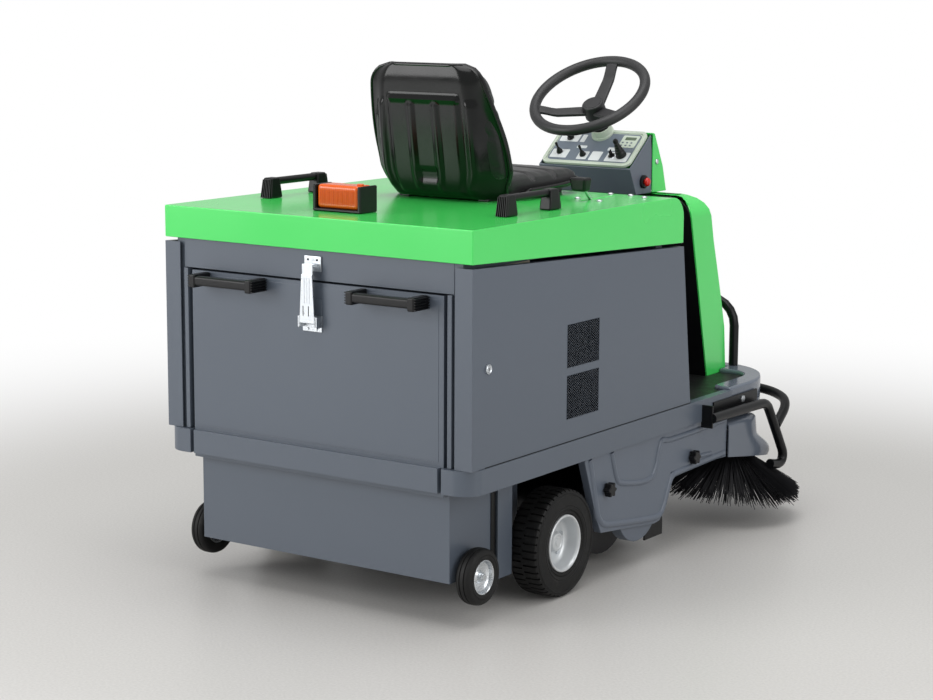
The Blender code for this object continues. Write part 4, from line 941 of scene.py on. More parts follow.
def spoke():
    deselect()
    bpy.ops.mesh.primitive_cube_add(size=1, location=(0.0785, 0, -0.0475), scale=(0.137, 0.036, 0.0095))
    bar = named("wheel_spoke")
    for cut in (0.03, 0.096, 0.108, 0.12, 0.132):
        edit_all(bar)
        bpy.ops.mesh.bisect(plane_co=(cut, 0, 0), plane_no=(1, 0, 0))
    object_mode()
    for vertex in bar.data.vertices:
        out = vertex.co.x
        vertex.co.z += 0.0275 * clamp((out - 0.012) / 0.1) + 0.021 * smooth_step(out, 0.096, 0.146)
        vertex.co.y *= 1.0 - 0.1 * smooth_step(out, 0.03, 0.12)
    return rounded(bar, 0.0032, 3, 40)


turns = [WHEEL_PLACE @ Matrix.Rotation(math.radians(angle), 4, "Z") for angle in (-150, -30, 90)]
spokes = repeated(spoke(), turns)
HUB_OUTLINE = [
    (0, -24), (22.5, -24), (23, -25), (23.6, -24.7), (27, -25.2), (28.4, -26.8), (29, -30), (29, -64),
    (27.5, -67), (19, -68), (18.5, -130), (11, -131), (10.8, -168), (0, -169),
]
hub = spun("wheel_hub", HUB_OUTLINE, WHEEL_CENTRE, WHEEL_AXIS, 48)
steering = merged("steering_wheel_moulding", [rim, *spokes, hub])
WHEEL_FOAM = moulded("polyurethane foam, moulded skin, black", "#1B1B1D", "#222224", 0.48, 1.6, 0.3)
finish(steering, "steering_wheel", WHEEL_FOAM, ["steering_wheel"], angle=40)
print("steering wheel", len(steering.data.polygons), "faces")

# %% [markdown]
# **Instrument panel.** A pale frame with round corners holds a slate-coloured film. On the film
# are blank label plates, two toggles in rubber boots, a knob, a key switch, a joystick and a
# small display. Everything is drawn in the panel's own plane and then tilted into place.

# %% Panel frame
DASH_TILT = math.radians(38.1)
PANEL = Matrix.Translation(at(0.0, 1.13, 0.92)) @ Matrix.Rotation(DASH_TILT, 4, "X")
PANEL_HALF, PANEL_DEPTH, PANEL_WALL = 0.134, 0.134, 0.006
UP = PANEL.to_3x3() @ Vector((0, 0, 1))


def plate(name, x, y, z, corner=0.0, segments=5):
    """A flat plate in the panel's plane, its upright corners rounded, not yet tilted."""
    deselect()
    low, high = Vector((x[0], y[0], z[0])), Vector((x[1], y[1], z[1]))
    bpy.ops.mesh.primitive_cube_add(size=1, location=(low + high) / 2, scale=high - low)
    obj = named(name)
    if corner:
        pick(obj, "edges", lambda a, b: abs(a.z - b.z) > 1e-6)
        bpy.ops.mesh.bevel(offset=corner, segments=segments, affect="EDGES")
        object_mode()
    return obj


def tilted(obj):
    obj.data.transform(PANEL)
    return obj


across_panel, along_panel = (-PANEL_HALF, PANEL_HALF), (0, PANEL_DEPTH)
frame_plate = plate("panel_frame", across_panel, along_panel, (-PANEL_WALL, 0.0018), 0.02, 8)
pick(frame_plate, "polygons", lambda place, normal: normal.z > 0.9)
bpy.ops.mesh.inset(thickness=0.01)
bpy.ops.mesh.extrude_region_move(TRANSFORM_OT_translate={"value": (0, 0, -0.0026)})
object_mode()
rounded(frame_plate, 0.0013, 3, 50)
run = (at(*WHEEL_CENTRE) - PANEL.translation).dot(UP) / WHEEL_AXIS.dot(UP)
collar_low = WHEEL_CENTRE - WHEEL_AXIS * run
COLLAR_OUTLINE = [
    (12.5, -6), (31, -6), (30, 4), (28.5, 5), (27.5, 19), (26.2, 21), (23, 21), (21.5, 19), (21.5, 6),
    (12.5, 6), (12.5, -6),
]
collar = spun("column_collar", COLLAR_OUTLINE, collar_low, WHEEL_AXIS, 48)
bezel = merged("panel_bezel", [tilted(frame_plate), collar])
finish(bezel, "machine", PALE_ABS, ["dash_panel"])
print("panel frame ready")

# %% Film, labels and display
film = plate("slate_film", (-0.1215, 0.1215), (0.0125, 0.1215), (-0.0006, -0.0002), 0.012)
finish(tilted(film), "machine", SLATE_FILM)
LABELS = [
    (-0.117, -0.066, 0.02, 0.052), (-0.117, -0.06, 0.083, 0.111), (-0.054, -0.04, 0.083, 0.111),
    (-0.034, -0.004, 0.018, 0.048), (-0.052, -0.022, 0.06, 0.07), (0.004, 0.036, 0.016, 0.05),
    (0.044, 0.068, 0.056, 0.068), (0.052, 0.118, 0.016, 0.052),
]
labels = [plate("blank_label", (x0, x1), (y0, y1), (-0.0003, 0.0004), 0.0025, 3) for x0, x1, y0, y1 in LABELS]
labels = merged("blank_labels", [tilted(label) for label in labels])
finish(labels, "machine", WHITE_FILM)
meter = plate("display_frame", (0.068, 0.117), (0.07, 0.116), (-0.0003, 0.0012), 0.003, 3)
finish(tilted(rounded(meter, 0.0004, 2)), "machine", PALE_ABS)
LCD_GLASS = moulded("liquid crystal glass, green grey", "#5D6B58", "#64725F", 0.12, 3.0, 0.02)
screen = plate("display_glass", (0.078, 0.11), (0.098, 0.109), (0.0006, 0.0016), 0.001, 2)
finish(tilted(screen), "machine", LCD_GLASS)
buttons = [plate("display_button", (x, x + 0.0055), (y, y + 0.0045), (0.0006, 0.0022), 0.001, 2)
           for x in (0.0735, 0.0865, 0.0995) for y in (0.0755, 0.086)]
buttons = merged("display_buttons", [tilted(rounded(button, 0.0004, 2)) for button in buttons])
finish(buttons, "machine", SLATE_FILM)
print("labels", len(LABELS))

# %% [markdown]
# **Switches.** A toggle stands in a bell-shaped rubber boot with a ringed foot. The joystick
# has the same boot, larger and with folds. All are turned shapes in the panel's direction.

# %% Switches
def on_panel(x, y):
    """A drawing position on the panel's face."""
    return PANEL @ Vector((x, y, 0.0)) - DATUM


TOGGLE_BOOT = [
    (0, 34), (2.2, 33.8), (3.2, 32.5), (3.6, 30), (3, 23), (2.6, 17.5), (3.8, 15), (5.2, 11), (7.8, 6),
    (8.2, 4.5), (8.6, 3), (8.6, 1.2), (0, 1.2),
]
JOYSTICK_BOOT = [
    (0, 56), (4, 55.5), (6.2, 53.5), (7, 50), (6.6, 45), (5.2, 42), (6.2, 39.5), (7.8, 37), (7, 34),
    (9.2, 30), (8.4, 27), (10.8, 22.5), (10, 19), (12.8, 14), (12.2, 10), (14.2, 5.5), (14.2, 1.2),
    (0, 1.2),
]
KEY_BARREL = [(0, 6), (5.5, 6), (6.2, 5.2), (6.4, 4), (8.5, 3.6), (9, 2.8), (9, 1.2), (0, 1.2)]
KNOB = [(0, 15), (6, 15), (6.8, 14), (7.2, 6), (9.2, 4.2), (9.5, 3), (9.5, 1.2), (0, 1.2)]
BOOT_RUBBER = rubber("rubber, moulded boot, black", "#101011", "#161617", 0.42, "#1C1C1C")
for name, x, y, outline, material in (
    ("toggle_left", -0.093, 0.04, TOGGLE_BOOT, BOOT_RUBBER),
    ("toggle_right", -0.019, 0.034, TOGGLE_BOOT, BOOT_RUBBER),
    ("joystick", 0.095, 0.039, JOYSTICK_BOOT, BOOT_RUBBER),
    ("control_knob", -0.087, 0.096, KNOB, BLACK_ABS),
    ("key_switch", 0.068, 0.036, KEY_BARREL, BLACK_ABS),
):
    piece = spun(f"{name}_turned", outline, on_panel(x, y), UP, 32)
    finish(piece, name, material, [name])
key = plate("key_bow", (0.0668, 0.0692), (0.03, 0.042), (0.005, 0.019), 0.0, 1)
finish(tilted(rounded(key, 0.001, 3)), "key_switch", BLACK_ABS)
pointer = plate("knob_pointer", (-0.0884, -0.0856), (0.089, 0.103), (0.011, 0.0185), 0.0, 1)
finish(tilted(rounded(pointer, 0.001, 3)), "control_knob", BLACK_ABS)
KEY_RING = [(9.2, 0.2), (11.2, 0.2), (11.2, 1.2), (9.2, 1.8), (9.2, 0.2)]
finish(spun("key_ring", KEY_RING, on_panel(0.068, 0.036), UP, 32), "machine", ZINC)
print("switches ready")

# %% [markdown]
# **Emergency button.** A glossy red dome in a black ring on the right cheek of the dash, where
# a hand finds it without looking.

# %% Emergency button
BUTTON = (0.139, 1.198, 0.877)
DOME = [
    (0, 21), (4, 20.6), (7.8, 19.2), (10.4, 16.8), (11.5, 13.5), (11.5, 11.8), (6.2, 11.2), (6.2, -0.8),
    (0, -0.8),
]
finish(spun("red_dome", DOME, BUTTON, (1, 0, 0), 40), "emergency_button", RED_PLASTIC, ["emergency_button"])
BUTTON_RING = [
    (6.8, 6.3), (12, 6.6), (12.8, 7.6), (15, 7.6), (17.2, 6.4), (17.4, 2), (17.4, 0.2), (17.1, 0.2),
    (6.8, 6.1),
]
finish(spun("button_ring", BUTTON_RING, BUTTON, (1, 0, 0), 40), "machine", BLACK_ABS)
print("button ready")

# %% [markdown]
# **Deck hand holds.** Two black moulded handles stand at the edges of the deck. Each foot is a
# tapered block with ribs up its outer end, and a round bar joins the feet. A foot is a cube
# whose top is made smaller, and the ribs are thin strips that lean with its end face.

# %% Deck hand holds
DECK_Z, FOOT_HIGH = 0.8813, 0.048
RIB_NARROW = 0.86


def foot_block(name, x, y, end):
    """A tapered foot; its ribbed end faces forward (1) or to the rear (-1)."""
    top = DECK_Z + FOOT_HIGH
    foot = block(name, (x - 0.016, y - 0.0225, DECK_Z), (x + 0.016, y + 0.0225, top))
    taper(foot, 1, (0.82, 0.7), (x, y, top))
    rounded(foot, 0.0042, 4)
    rib = block("foot_rib", (x - 0.0012, y - 0.0262, DECK_Z + 0.001), (x + 0.0012, y - 0.015, top - 0.004))
    pick(rib, "polygons", lambda place, normal: normal.z > 0.9)
    bpy.ops.transform.translate(value=(0, 0.007, 0))
    object_mode()
    rounded(rib, 0.0006)
    if end > 0:
        rib.data.transform(round_about((x, y, 0), (0, 0, 1), math.pi))
    ribs = row(rib, 0.0052, (-2.5, -1.5, -0.5, 0.5, 1.5, 2.5))
    for vertex in [vertex for strip in ribs for vertex in strip.data.vertices]:
        if vertex.co.z > DECK_Z + 0.03:
            vertex.co.x = DATUM.x + x + (vertex.co.x - DATUM.x - x) * RIB_NARROW
    return [foot, *ribs]


for side, word in SIDES:
    x = side * 0.335
    pieces = foot_block("rear_foot", x, 0.27, -1) + foot_block("front_foot", x, 0.445, 1)
    bar = drum("hold_bar", (x, 0.3575, DECK_Z + FOOT_HIGH - 0.0095), (0, 1, 0), 0.009, 0.186, 32)
    hold = merged(f"deck_hold_{word}", [*pieces, rounded(bar, 0.002, 2)])
    finish(hold, "machine", BLACK_ABS, [f"grab_handle_{word}"])
print("deck holds ready")

# %% [markdown]
# **Hopper handles.** Flat moulded grips with ribbed end caps. The ribs run front to back on
# the outer faces of both caps, so fingers don't slip when the full hopper is pulled out.

# %% Hopper handles
HANDLE_Z, HANDLE_HALF = 0.72, 0.095


def hopper_handle(word, x):
    inset = HANDLE_HALF - 0.01
    low, high = (x - inset, -0.05, HANDLE_Z - 0.01), (x + inset, -0.03, HANDLE_Z + 0.0115)
    pieces = [slab("grip", low, high, 0.0055, 4)]
    for end in (1, -1):
        near, outer, tip = (x + end * (HANDLE_HALF - inward) for inward in (0.022, 0.004, 0.0))
        low, high = (near, -0.052, HANDLE_Z - 0.015), (outer, 0.0045, HANDLE_Z + 0.015)
        pieces.append(slab("cap", low, high, 0.0035, 3))
        low, high = (outer - end * 0.004, -0.05, HANDLE_Z - 0.0012), (tip, 0.002, HANDLE_Z + 0.0012)
        pieces += row(slab("cap_rib", low, high, 0.0006), 0.0058, (-2, -1, 0, 1, 2), 2)
    handle = merged(f"hopper_grip_{word}", pieces)
    finish(handle, "hopper", BLACK_ABS, [f"hopper_handle_{word}"])


hopper_handle("right", 0.224)
hopper_handle("left", -0.224)
print("hopper handles ready")

# %% [markdown]
# ** Toggle latch.** A bright pressed lever pulls a hook over the keeper. The lever narrows
# upwards, its sides are folded back, and where it was lanced, two short slot openings are painted
# shade, a near-black block in each. The base plate on the hopper has cheeks for the pivot and two screw
# heads.

# %% Toggle latch
BRIGHT_ZINC = plated("steel, bright zinc plated", "#BFC4C8", "#D2D6DA", 0.33, (1.0, 1.0, 1.0))
lever = block("latch_blade", (-0.021, -0.0178, 0.648), (0.021, -0.0146, 0.756))
taper(lever, 1, (0.72, 1.0), (0, -0.0162, 0.756))
rounded(lever, 0.0009)
groove = slab("latch_ridge", (-0.0013, -0.0184, 0.692), (0.0013, -0.0172, 0.75), 0.0006)
ridges = row(groove, 0.007, (-1, 0, 1))
wings = [slab("latch_wing", (side * 0.02, -0.017, 0.64), (side * 0.0222, -0.003, 0.664), 0.0008)
         for side, word in SIDES]
hook = slab("latch_hook", (-0.015, -0.0152, 0.748), (0.015, -0.013, 0.7785), 0.0009)
hook_lip = slab("hook_lip", (-0.015, -0.015, 0.7755), (0.015, -0.0045, 0.7785), 0.0009)
barrel = drum("latch_barrel", (0, -0.008, 0.65), (1, 0, 0), 0.005, 0.044, 24)
latch = merged("toggle_latch", [lever, *wings, *ridges, hook, hook_lip, barrel])
finish(latch, "latch_lever", BRIGHT_ZINC, ["latch_lever"])
# Painted shade: a near-black, shineless colour laid in each slot, hole and hollow where light does not reach.
SHADOW = moulded("painted shade, unlit openings", "#040405", "#060607", 0.9, 1.0, 0.1, 0.0)
# Painted shade: a near-black block in each lanced slot of the lever.
slot_shades = [block("slot", (x, -0.0182, 0.664), (x + 0.0018, -0.017, 0.686)) for x in (-0.011, 0.004)]
finish(merged("latch_slot_shade", slot_shades), "latch_lever", SHADOW)
keeper = slab("latch_keeper", (-0.0235, 0.004, 0.761), (0.0235, 0.0072, 0.7945), 0.0012)
keeper_lip = slab("keeper_tongue", (-0.0135, -0.0108, 0.769), (0.0135, 0.007, 0.7742), 0.001)
finish(merged("latch_keeper", [keeper, keeper_lip]), "machine", BRIGHT_ZINC)
# Painted shade: a near-black disc in each of the keeper's two screw openings.
hole_shades = [drum("hole", (x, 0.004, 0.7865), (0, 1, 0), 0.0026, 0.0008, 16) for x in (-0.0125, 0.0125)]
finish(merged("keeper_hole_shade", hole_shades), "machine", SHADOW)
base = slab("latch_base", (-0.027, 0.001, 0.627), (0.027, 0.0065, 0.664), 0.0012)
cheeks = [slab("latch_cheek", (side * 0.023, -0.0165, 0.6375), (side * 0.0266, 0.006, 0.6625), 0.0008)
          for side, word in SIDES]
screws = [rounded(drum("base_screw", (x, 0.0, 0.6325), (0, 1, 0), 0.0034, 0.0026, 20), 0.0008)
          for x in (-0.012, 0.012)]
finish(merged("latch_mount", [base, *cheeks, *screws]), "hopper", BRIGHT_ZINC)
print("latch ready")

# %% [markdown]
# ** Door grilles.** Each door has two vents behind expanded steel: diamonds 11 mm long and 6 mm
# high in a thin sheet. A grid is turned by 45 degrees and squashed, cut off at the vent's edges
# with bisect, and Wireframe turns its edges into strands. A near-black plate behind it is painted
# shade for the unlit duct, and a thin dark strip under each door is painted shade in its gap.

# %% Door grilles
VENT_Y = (0.376, 0.512)
VENT_ROWS = ((0.418, 0.518), (0.536, 0.634))
DOOR_FACE = 0.4295


def grille(side, low_z, high_z):
    middle = ((VENT_Y[0] + VENT_Y[1]) / 2, (low_z + high_z) / 2)
    deselect()
    bpy.ops.mesh.primitive_grid_add(x_subdivisions=44, y_subdivisions=44, size=0.22)
    mesh = named("expanded_mesh")
    squashed = Matrix.Diagonal((0.88, 1.5, 1.0, 1.0)) @ Matrix.Rotation(math.radians(45), 4, "Z")
    mesh.data.transform(Matrix.Rotation(math.radians(90), 4, "Y") @ squashed)
    mesh.data.transform(Matrix.Translation(at(side * (DOOR_FACE + 0.0004), *middle)))
    for plane, normal in (((0, VENT_Y[0], 0), (0, -1, 0)), ((0, VENT_Y[1], 0), (0, 1, 0)),
                          ((0, 0, low_z), (0, 0, -1)), ((0, 0, high_z), (0, 0, 1))):
        edit_all(mesh)
        bpy.ops.mesh.bisect(plane_co=at(*plane), plane_no=normal, clear_outer=True)
    object_mode()
    apply(mesh, "WIREFRAME", thickness=0.0008, use_even_offset=False)
    return mesh


for side, word in SIDES:
    nets = [grille(side, low, high) for low, high in VENT_ROWS]
    finish(merged(f"door_mesh_{word}", nets), f"door_{word}", GREY_COAT, angle=20)
    behind, ahead = side * (DOOR_FACE - 0.0006), side * (DOOR_FACE + 0.0002)
    # Painted shade: a near-black plate behind each vent stands for the unlit duct.
    duct_shades = [block("duct", (behind, VENT_Y[0], low), (ahead, VENT_Y[1], high)) for low, high in VENT_ROWS]
    finish(merged(f"door_duct_shade_{word}", duct_shades), f"door_{word}", SHADOW)
for side, word in SIDES:
    # Painted shade: a thin dark strip under each door's lower edge, in the gap above the rail.
    shade_strip = block(f"door_gap_shade_{word}", (side * 0.42, 0.05, 0.3652), (side * 0.4297, 0.948, 0.3672))
    finish(shade_strip, "machine", MAT_RUBBER)
print("grilles ready")

# %% [markdown]
# ** Door locks.** A small zinc cam lock with a rim, a domed plug and a key slot; the slot's dark is painted shade, a near-black block.

# %% Door locks
LOCK_OUTLINE = [
    (0, 3.4), (6.2, 3.2), (7, 2.6), (7.8, 3.4), (9.2, 4.2), (10.6, 3.6), (11, 2.4), (11, 0.2), (0, 0.2),
]
for side, word in SIDES:
    centre = (side * (DOOR_FACE + 0.0002), 0.059, 0.58)
    back, front = (side * (DOOR_FACE + out) for out in (0.003, 0.0039))
    cam = spun(f"cam_lock_{word}", LOCK_OUTLINE, centre, (side, 0, 0), 32)
    finish(cam, f"door_lock_{word}", BRIGHT_ZINC, [f"door_lock_{word}"])
    # Painted shade: a near-black block in the key slot.
    slit_shade = block(f"key_slot_shade_{word}", (back, 0.0582, 0.5765), (front, 0.0598, 0.5835))
    finish(slit_shade, f"door_lock_{word}", SHADOW)
print("locks ready")

# %% [markdown]
# **Beacon lens.** The amber lens is a rounded box with fine upright ribs, which spread the
# light of the lamp. A nub on its right end hides the fixing screw.

# %% Beacon lens
lens_low, lens_high = (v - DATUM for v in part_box("beacon_lens"))
lens = block("lens_body", lens_low + Vector((0, 0.001, 0)), lens_high - Vector((0, 0.001, 0.004)))
rounded(lens, 0.0085, 5)
rib_low = lens_low + Vector((0.01, 0.0001, 0.01))
rib_high = Vector((lens_low.x + 0.0118, lens_high.y - 0.0001, lens_high.z - 0.015))
ribs = row(slab("lens_rib", rib_low, rib_high, 0.0006), 0.0036, range(27))
nub_place = (lens_high.x - 0.014, (lens_low.y + lens_high.y) / 2, lens_high.z - 0.0035)
nub = drum("lens_nub", nub_place, (0, 0, 1), 0.0075, 0.0065, 24)
beacon = merged("ribbed_lens", [lens, *ribs, rounded(nub, 0.002, 3)])
finish(beacon, "machine", AMBER, ["beacon_lens"])
print("lens ready")

# %% [markdown]
# **Deck lever.** A zinc rod comes up through a slot in the hood and ends in a black moulded
# knob. Domed bolts hold the mechanism under the deck.

# %% Deck lever
LEVER_FOOT, LEVER_TOP = Vector((0.288, 0.715, 0.863)), Vector((0.288, 0.653, 0.921))
along = LEVER_TOP - LEVER_FOOT
rod = drum("lever_rod", (LEVER_FOOT + LEVER_TOP) / 2, along, 0.004, along.length, 24)
finish(rod, "deck_lever", ZINC, ["deck_lever"])
knob = block("lever_knob", (0.2645, 0.634, 0.9035), (0.3115, 0.668, 0.9365))
taper(knob, -1, (0.8, 0.8), (0.288, 0.655, 0.9035))
finish(rounded(knob, 0.0065, 5), "deck_lever", BLACK_ABS)
DOME_BOLT = [(0, 4.2), (3, 4), (5.6, 3), (7, 1.4), (7.2, 0.2), (0, 0.2)]
BOLT_PLACES = [(0.2545, 0.692), (0.33, 0.668), (0.264, 0.8285), (0.32, 0.829), (0.373, 0.803)]
bolts = [spun("dome_bolt", DOME_BOLT, (x, y, DECK_Z), (0, 0, 1), 24) for x, y in BOLT_PLACES]
finish(merged("deck_bolts", bolts), "machine", BRIGHT_ZINC)
print("lever ready")

# %% [markdown]
# **Star knobs and cover ribs.** The broom cover is a large moulding, stiffened by pressed
# ribs. They are drawn here as rounded beads that stand five millimetres out of its face. Two
# six-lobed knobs hold it on.

# %% Star knobs
KNOB_FACE = 0.4203


def star_knob(name, y, z):
    knob = drum(f"{name}_grip", (KNOB_FACE + 0.011, y, z), (1, 0, 0), 0.018, 0.0175, 60)
    middle = at(KNOB_FACE, y, z)
    for vertex in knob.data.vertices:
        spoke = vertex.co - middle
        turn, radius = math.atan2(spoke.z, spoke.y), math.hypot(spoke.y, spoke.z)
        if radius > 0.01:
            share = 0.84 + 0.16 * math.cos(6 * turn)
            vertex.co.y, vertex.co.z = middle.y + spoke.y * share, middle.z + spoke.z * share
    rounded(knob, 0.0022, 3, 60)
    stem = drum("knob_stem", (KNOB_FACE + 0.0012, y, z), (1, 0, 0), 0.0095, 0.002, 24)
    finish(merged(f"{name}_moulding", [knob, stem]), name, BLACK_ABS, [name])


star_knob("star_knob_rear", 0.5686, 0.22)
star_knob("star_knob_front", 0.9764, 0.2245)


def eased(points, rounds=3):
    """A path with its corners cut again and again, so that it bends."""
    points = [Vector(point) for point in points]
    for _ in range(rounds):
        cut = [points[0]]
        for here, there in zip(points, points[1:]):
            cut += [here.lerp(there, 0.25), here.lerp(there, 0.75)]
        points = cut + [points[-1]]
    return points


COVER_RIBS = [
    # the path as y and z, and the radius of the bead
    ([(0.494, 0.303), (0.5, 0.29), (0.522, 0.205), (0.542, 0.138), (0.62, 0.126), (0.812, 0.1005),
      (0.838, 0.112), (0.862, 0.16), (0.88, 0.195), (0.93, 0.198), (1.15, 0.203)], 0.01),
    ([(0.592, 0.303), (0.598, 0.285), (0.616, 0.235), (0.632, 0.22), (0.772, 0.199), (0.8, 0.225),
      (0.818, 0.285), (0.832, 0.294), (0.86, 0.284), (1.145, 0.289)], 0.0085),
    ([(1.0, 0.219), (1.078, 0.215)], 0.0055),
]
for side, word in SIDES:
    ribs = []
    for path, radius in COVER_RIBS:
        places = [at(side * (0.42 - radius + 0.0048), y, z) for y, z in eased(path, 2)]
        ribs.append(bead("cover_rib", places, radius, 5))
    finish(merged(f"cover_ribs_{word}", ribs), "machine", GREY_ABS)
print("cover ribs ready")

# %% [markdown]
# **Bumper.** A flat bar is bolted to the frame on each side. On the right it carries a guard
# tube that runs forward and drops round the side brush, and another tube crosses the front.
# Each tube is a bead laid through points with eased corners.

# %% Bumper
TUBE = 0.0125
GUARD = [(0.46, 1.008, 0.32), (0.46, 1.25, 0.317), (0.46, 1.302, 0.314), (0.46, 1.328, 0.278),
         (0.46, 1.385, 0.195), (0.46, 1.408, 0.16), (0.46, 1.392, 0.135), (0.458, 1.335, 0.146)]
FRONT_TUBE = [(0.3, 1.5035, 0.312), (0.385, 1.495, 0.306), (0.448, 1.452, 0.292), (0.46, 1.36, 0.245)]
LEFT_TUBE = [(0.3, 1.5035, 0.312), (0.37, 1.498, 0.311), (0.41, 1.47, 0.309), (0.4175, 1.4, 0.307),
             (0.4175, 1.29, 0.305)]
tubes = []
for side, word in SIDES:
    low, high = (side * 0.4303, 1.06, 0.32), (side * 0.4363, 1.295, 0.35)
    tubes.append(slab(f"bumper_bar_{word}", low, high, 0.001))
tubes.append(slab("tube_foot", (0.4303, 1.005, 0.295), (0.462, 1.011, 0.352), 0.001))
for side, path in ((1, GUARD), (1, FRONT_TUBE), (-1, LEFT_TUBE)):
    tubes.append(bead("guard_tube", [at(side * x, y, z) for x, y, z in eased(path)], TUBE, 6))
across_front = [(-0.3, 1.5035, 0.312), (0.3, 1.5035, 0.312)]
tubes.append(bead("front_tube", [at(*place) for place in across_front], TUBE, 6))
finish(merged("bumper_tubes", tubes), "machine", BLACK_COAT, ["bumper"])
print("bumper ready")

# %% [markdown]
# **Bumper bolt and dash screws.** A chrome bolt holds the bumper bracket. Small bright screws
# fix the dash case and the cowl.

# %% Bright screws
heads = [hex_bolt("bumper_bolt", (0.4363, 1.2096, 0.3365), (1, 0, 0), 0.019, 0.005)]
for side, word in SIDES:
    heads.append(spun("cowl_screw", DOME_BOLT, (side * 0.1424, 1.262, 0.925), (side, 0, 0), 20))
finish(merged("bright_screws", heads), "machine", BRIGHT_ZINC)
print("screws ready")

# %% [markdown]
# **Side brush.** Tufts of black nylon are set in a round plate and lean outwards, so that the
# tips sweep beyond the machine. Each bristle here stands for a few real ones: a three-sided
# spike. One is modelled, and 1900 copies are laid round the plate with small seeded
# differences in length, lean and turn, so the skirt looks combed but not perfect.

# %% Side brush
BRUSH_CENTRE = Vector((0.35, 1.315, 0.164))
BRUSH_TILT = math.radians(3)
BRISTLES, BRISTLE_WIDE, SWEEP = 1900, 0.0027, 0.191
ROOT_IN, ROOT_OUT = 0.034, 0.054
brush_axis = Vector((math.sin(BRUSH_TILT), math.sin(BRUSH_TILT), 1)).normalized()
upright = Vector((0, 0, 1)).rotation_difference(brush_axis).to_matrix().to_4x4()
brush_place = Matrix.Translation(at(*BRUSH_CENTRE)) @ upright

deselect()
bpy.ops.mesh.primitive_cone_add(vertices=3, radius1=BRISTLE_WIDE / 2, radius2=BRISTLE_WIDE / 3, depth=1.0,
                                location=(0, 0, 0.5))
bristle = named("bristle")
random.seed(11)
laid = []
for number in range(BRISTLES):
    turn = 2 * math.pi * (number * 0.61803 + 0.01 * random.random())
    share = random.random()
    root = ROOT_IN + (ROOT_OUT - ROOT_IN) * share
    lean = math.radians(54 + 6 * share + 4 * random.random())
    aside = math.radians(random.uniform(-6, 6))
    reach = (SWEEP - root) / math.sin(lean) * (0.93 + 0.07 * random.random())
    laid.append(Matrix.Rotation(turn, 4, "Z") @ Matrix.Translation((root, 0, 0.002))
                @ Matrix.Rotation(aside, 4, "Z") @ Matrix.Rotation(math.pi - lean, 4, "Y")
                @ Matrix.Diagonal((1, 1, reach, 1)))
skirt = merged("side_brush_bristles", repeated(bristle, laid))
skirt.data.transform(brush_place)
finish(skirt, "side_brush", NYLON, ["side_brush"], angle=60)
PLATE = [
    (0, 30), (24, 30), (25.8, 28), (26, 12), (30, 10), (52, 8), (55, 5), (54.5, -4), (52, -7), (0, -7),
]
plate_disc = spun("bristle_plate", PLATE, BRUSH_CENTRE, (0, 0, 1), 40)
finish(plate_disc, "side_brush", BLACK_ABS)
print("bristles", len(skirt.data.polygons), "faces")

# %% [markdown]
# **Brush cover.** The cover over the brush motor is a thin moulding: upright at the rear,
# rounded in plan, and flared at the front into a lip. A grid is wrapped round it. One way runs
# round the plan outline, and the other from the middle of the roof over its edge and down the
# wall. Solidify gives the wall.

# %% Brush cover
COVER_MIDDLE, COVER_REAR, COVER_FRONT, COVER_HALF = 0.335, 1.1645, 1.35, 0.089
COVER_ROOF, ROOF_EDGE = 0.2815, 0.015
ROOF_SHARE, SQUARENESS = 0.3, 0.34


def cover_point(across, down):
    """Across runs round the plan, and down from 0 at the middle of the roof to 1 at the lip."""
    around, down = clamp((across + 1) / 2), clamp(down)
    on_roof = math.sin(min(1.0, down / ROOF_SHARE) * math.pi / 2)
    fall = max(0.0, (down - ROOF_SHARE) / (1 - ROOF_SHARE))
    flare = smooth_step(fall, 0.38, 0.84)
    front = COVER_FRONT + 0.02 * fall + 0.074 * flare - 0.012 * smooth_step(fall, 0.9, 1.0)
    turn = math.pi * around
    x = -COVER_HALF * math.copysign(abs(math.cos(turn)) ** SQUARENESS, math.cos(turn)) * on_roof
    y = COVER_REAR + (front - COVER_REAR) * math.sin(turn) ** SQUARENESS * on_roof
    lip = 0.19 - 0.156 * (y - COVER_REAR)
    edge = COVER_ROOF - ROOF_EDGE * (1 - math.sqrt(max(0.0, 1 - on_roof ** 6)))
    return at(COVER_MIDDLE + x, y, edge + (lip - edge) * fall)


cover = moulded_sheet("brush_motor_cover", 72, 40, cover_point, 0.003)
finish(cover, "side_brush_arm", GLOSSY_ABS, ["side_brush_cover"], angle=50)
print("brush cover", len(cover.data.polygons), "faces")

# %% [markdown]
# ** Corner strips and panel face.** A strip of the frame shows in the gap on each side of the
# hopper, and lower down a thin dark strip beside the hopper's side is painted shade in the gap there.
# The hopper's face is a separate sheet with rounded edges, a little proud of the folded panel, and
# a flap hangs beside the broom.

# %% Rear details
for side, word in SIDES:
    low, high = (side * 0.364, 0.002, 0.366), (side * 0.3755, 0.02, 0.7395)
    finish(slab(f"corner_strip_{word}", low, high, 0.001), "machine", GREY_COAT)
    # Painted shade: a thin dark strip in the gap beside the hopper's side.
    low, high = (side * 0.3528, 0.187, 0.106), (side * 0.3545, 0.203, 0.306)
    finish(slab(f"hopper_gap_shade_{word}", low, high, 0.0006), "hopper", MAT_RUBBER)
sheet = slab("hopper_face_sheet", (-0.34, 0.0042, 0.375), (0.34, 0.006, 0.728), 0.0008)
finish(sheet, "hopper", GREY_COAT)
flap = slab("broom_side_flap", (0.388, 0.8, 0.042), (0.393, 0.887, 0.1), 0.0015)
finish(flap, "machine", MAT_RUBBER)
print("rear details ready")

# %% [markdown]
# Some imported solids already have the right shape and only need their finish.

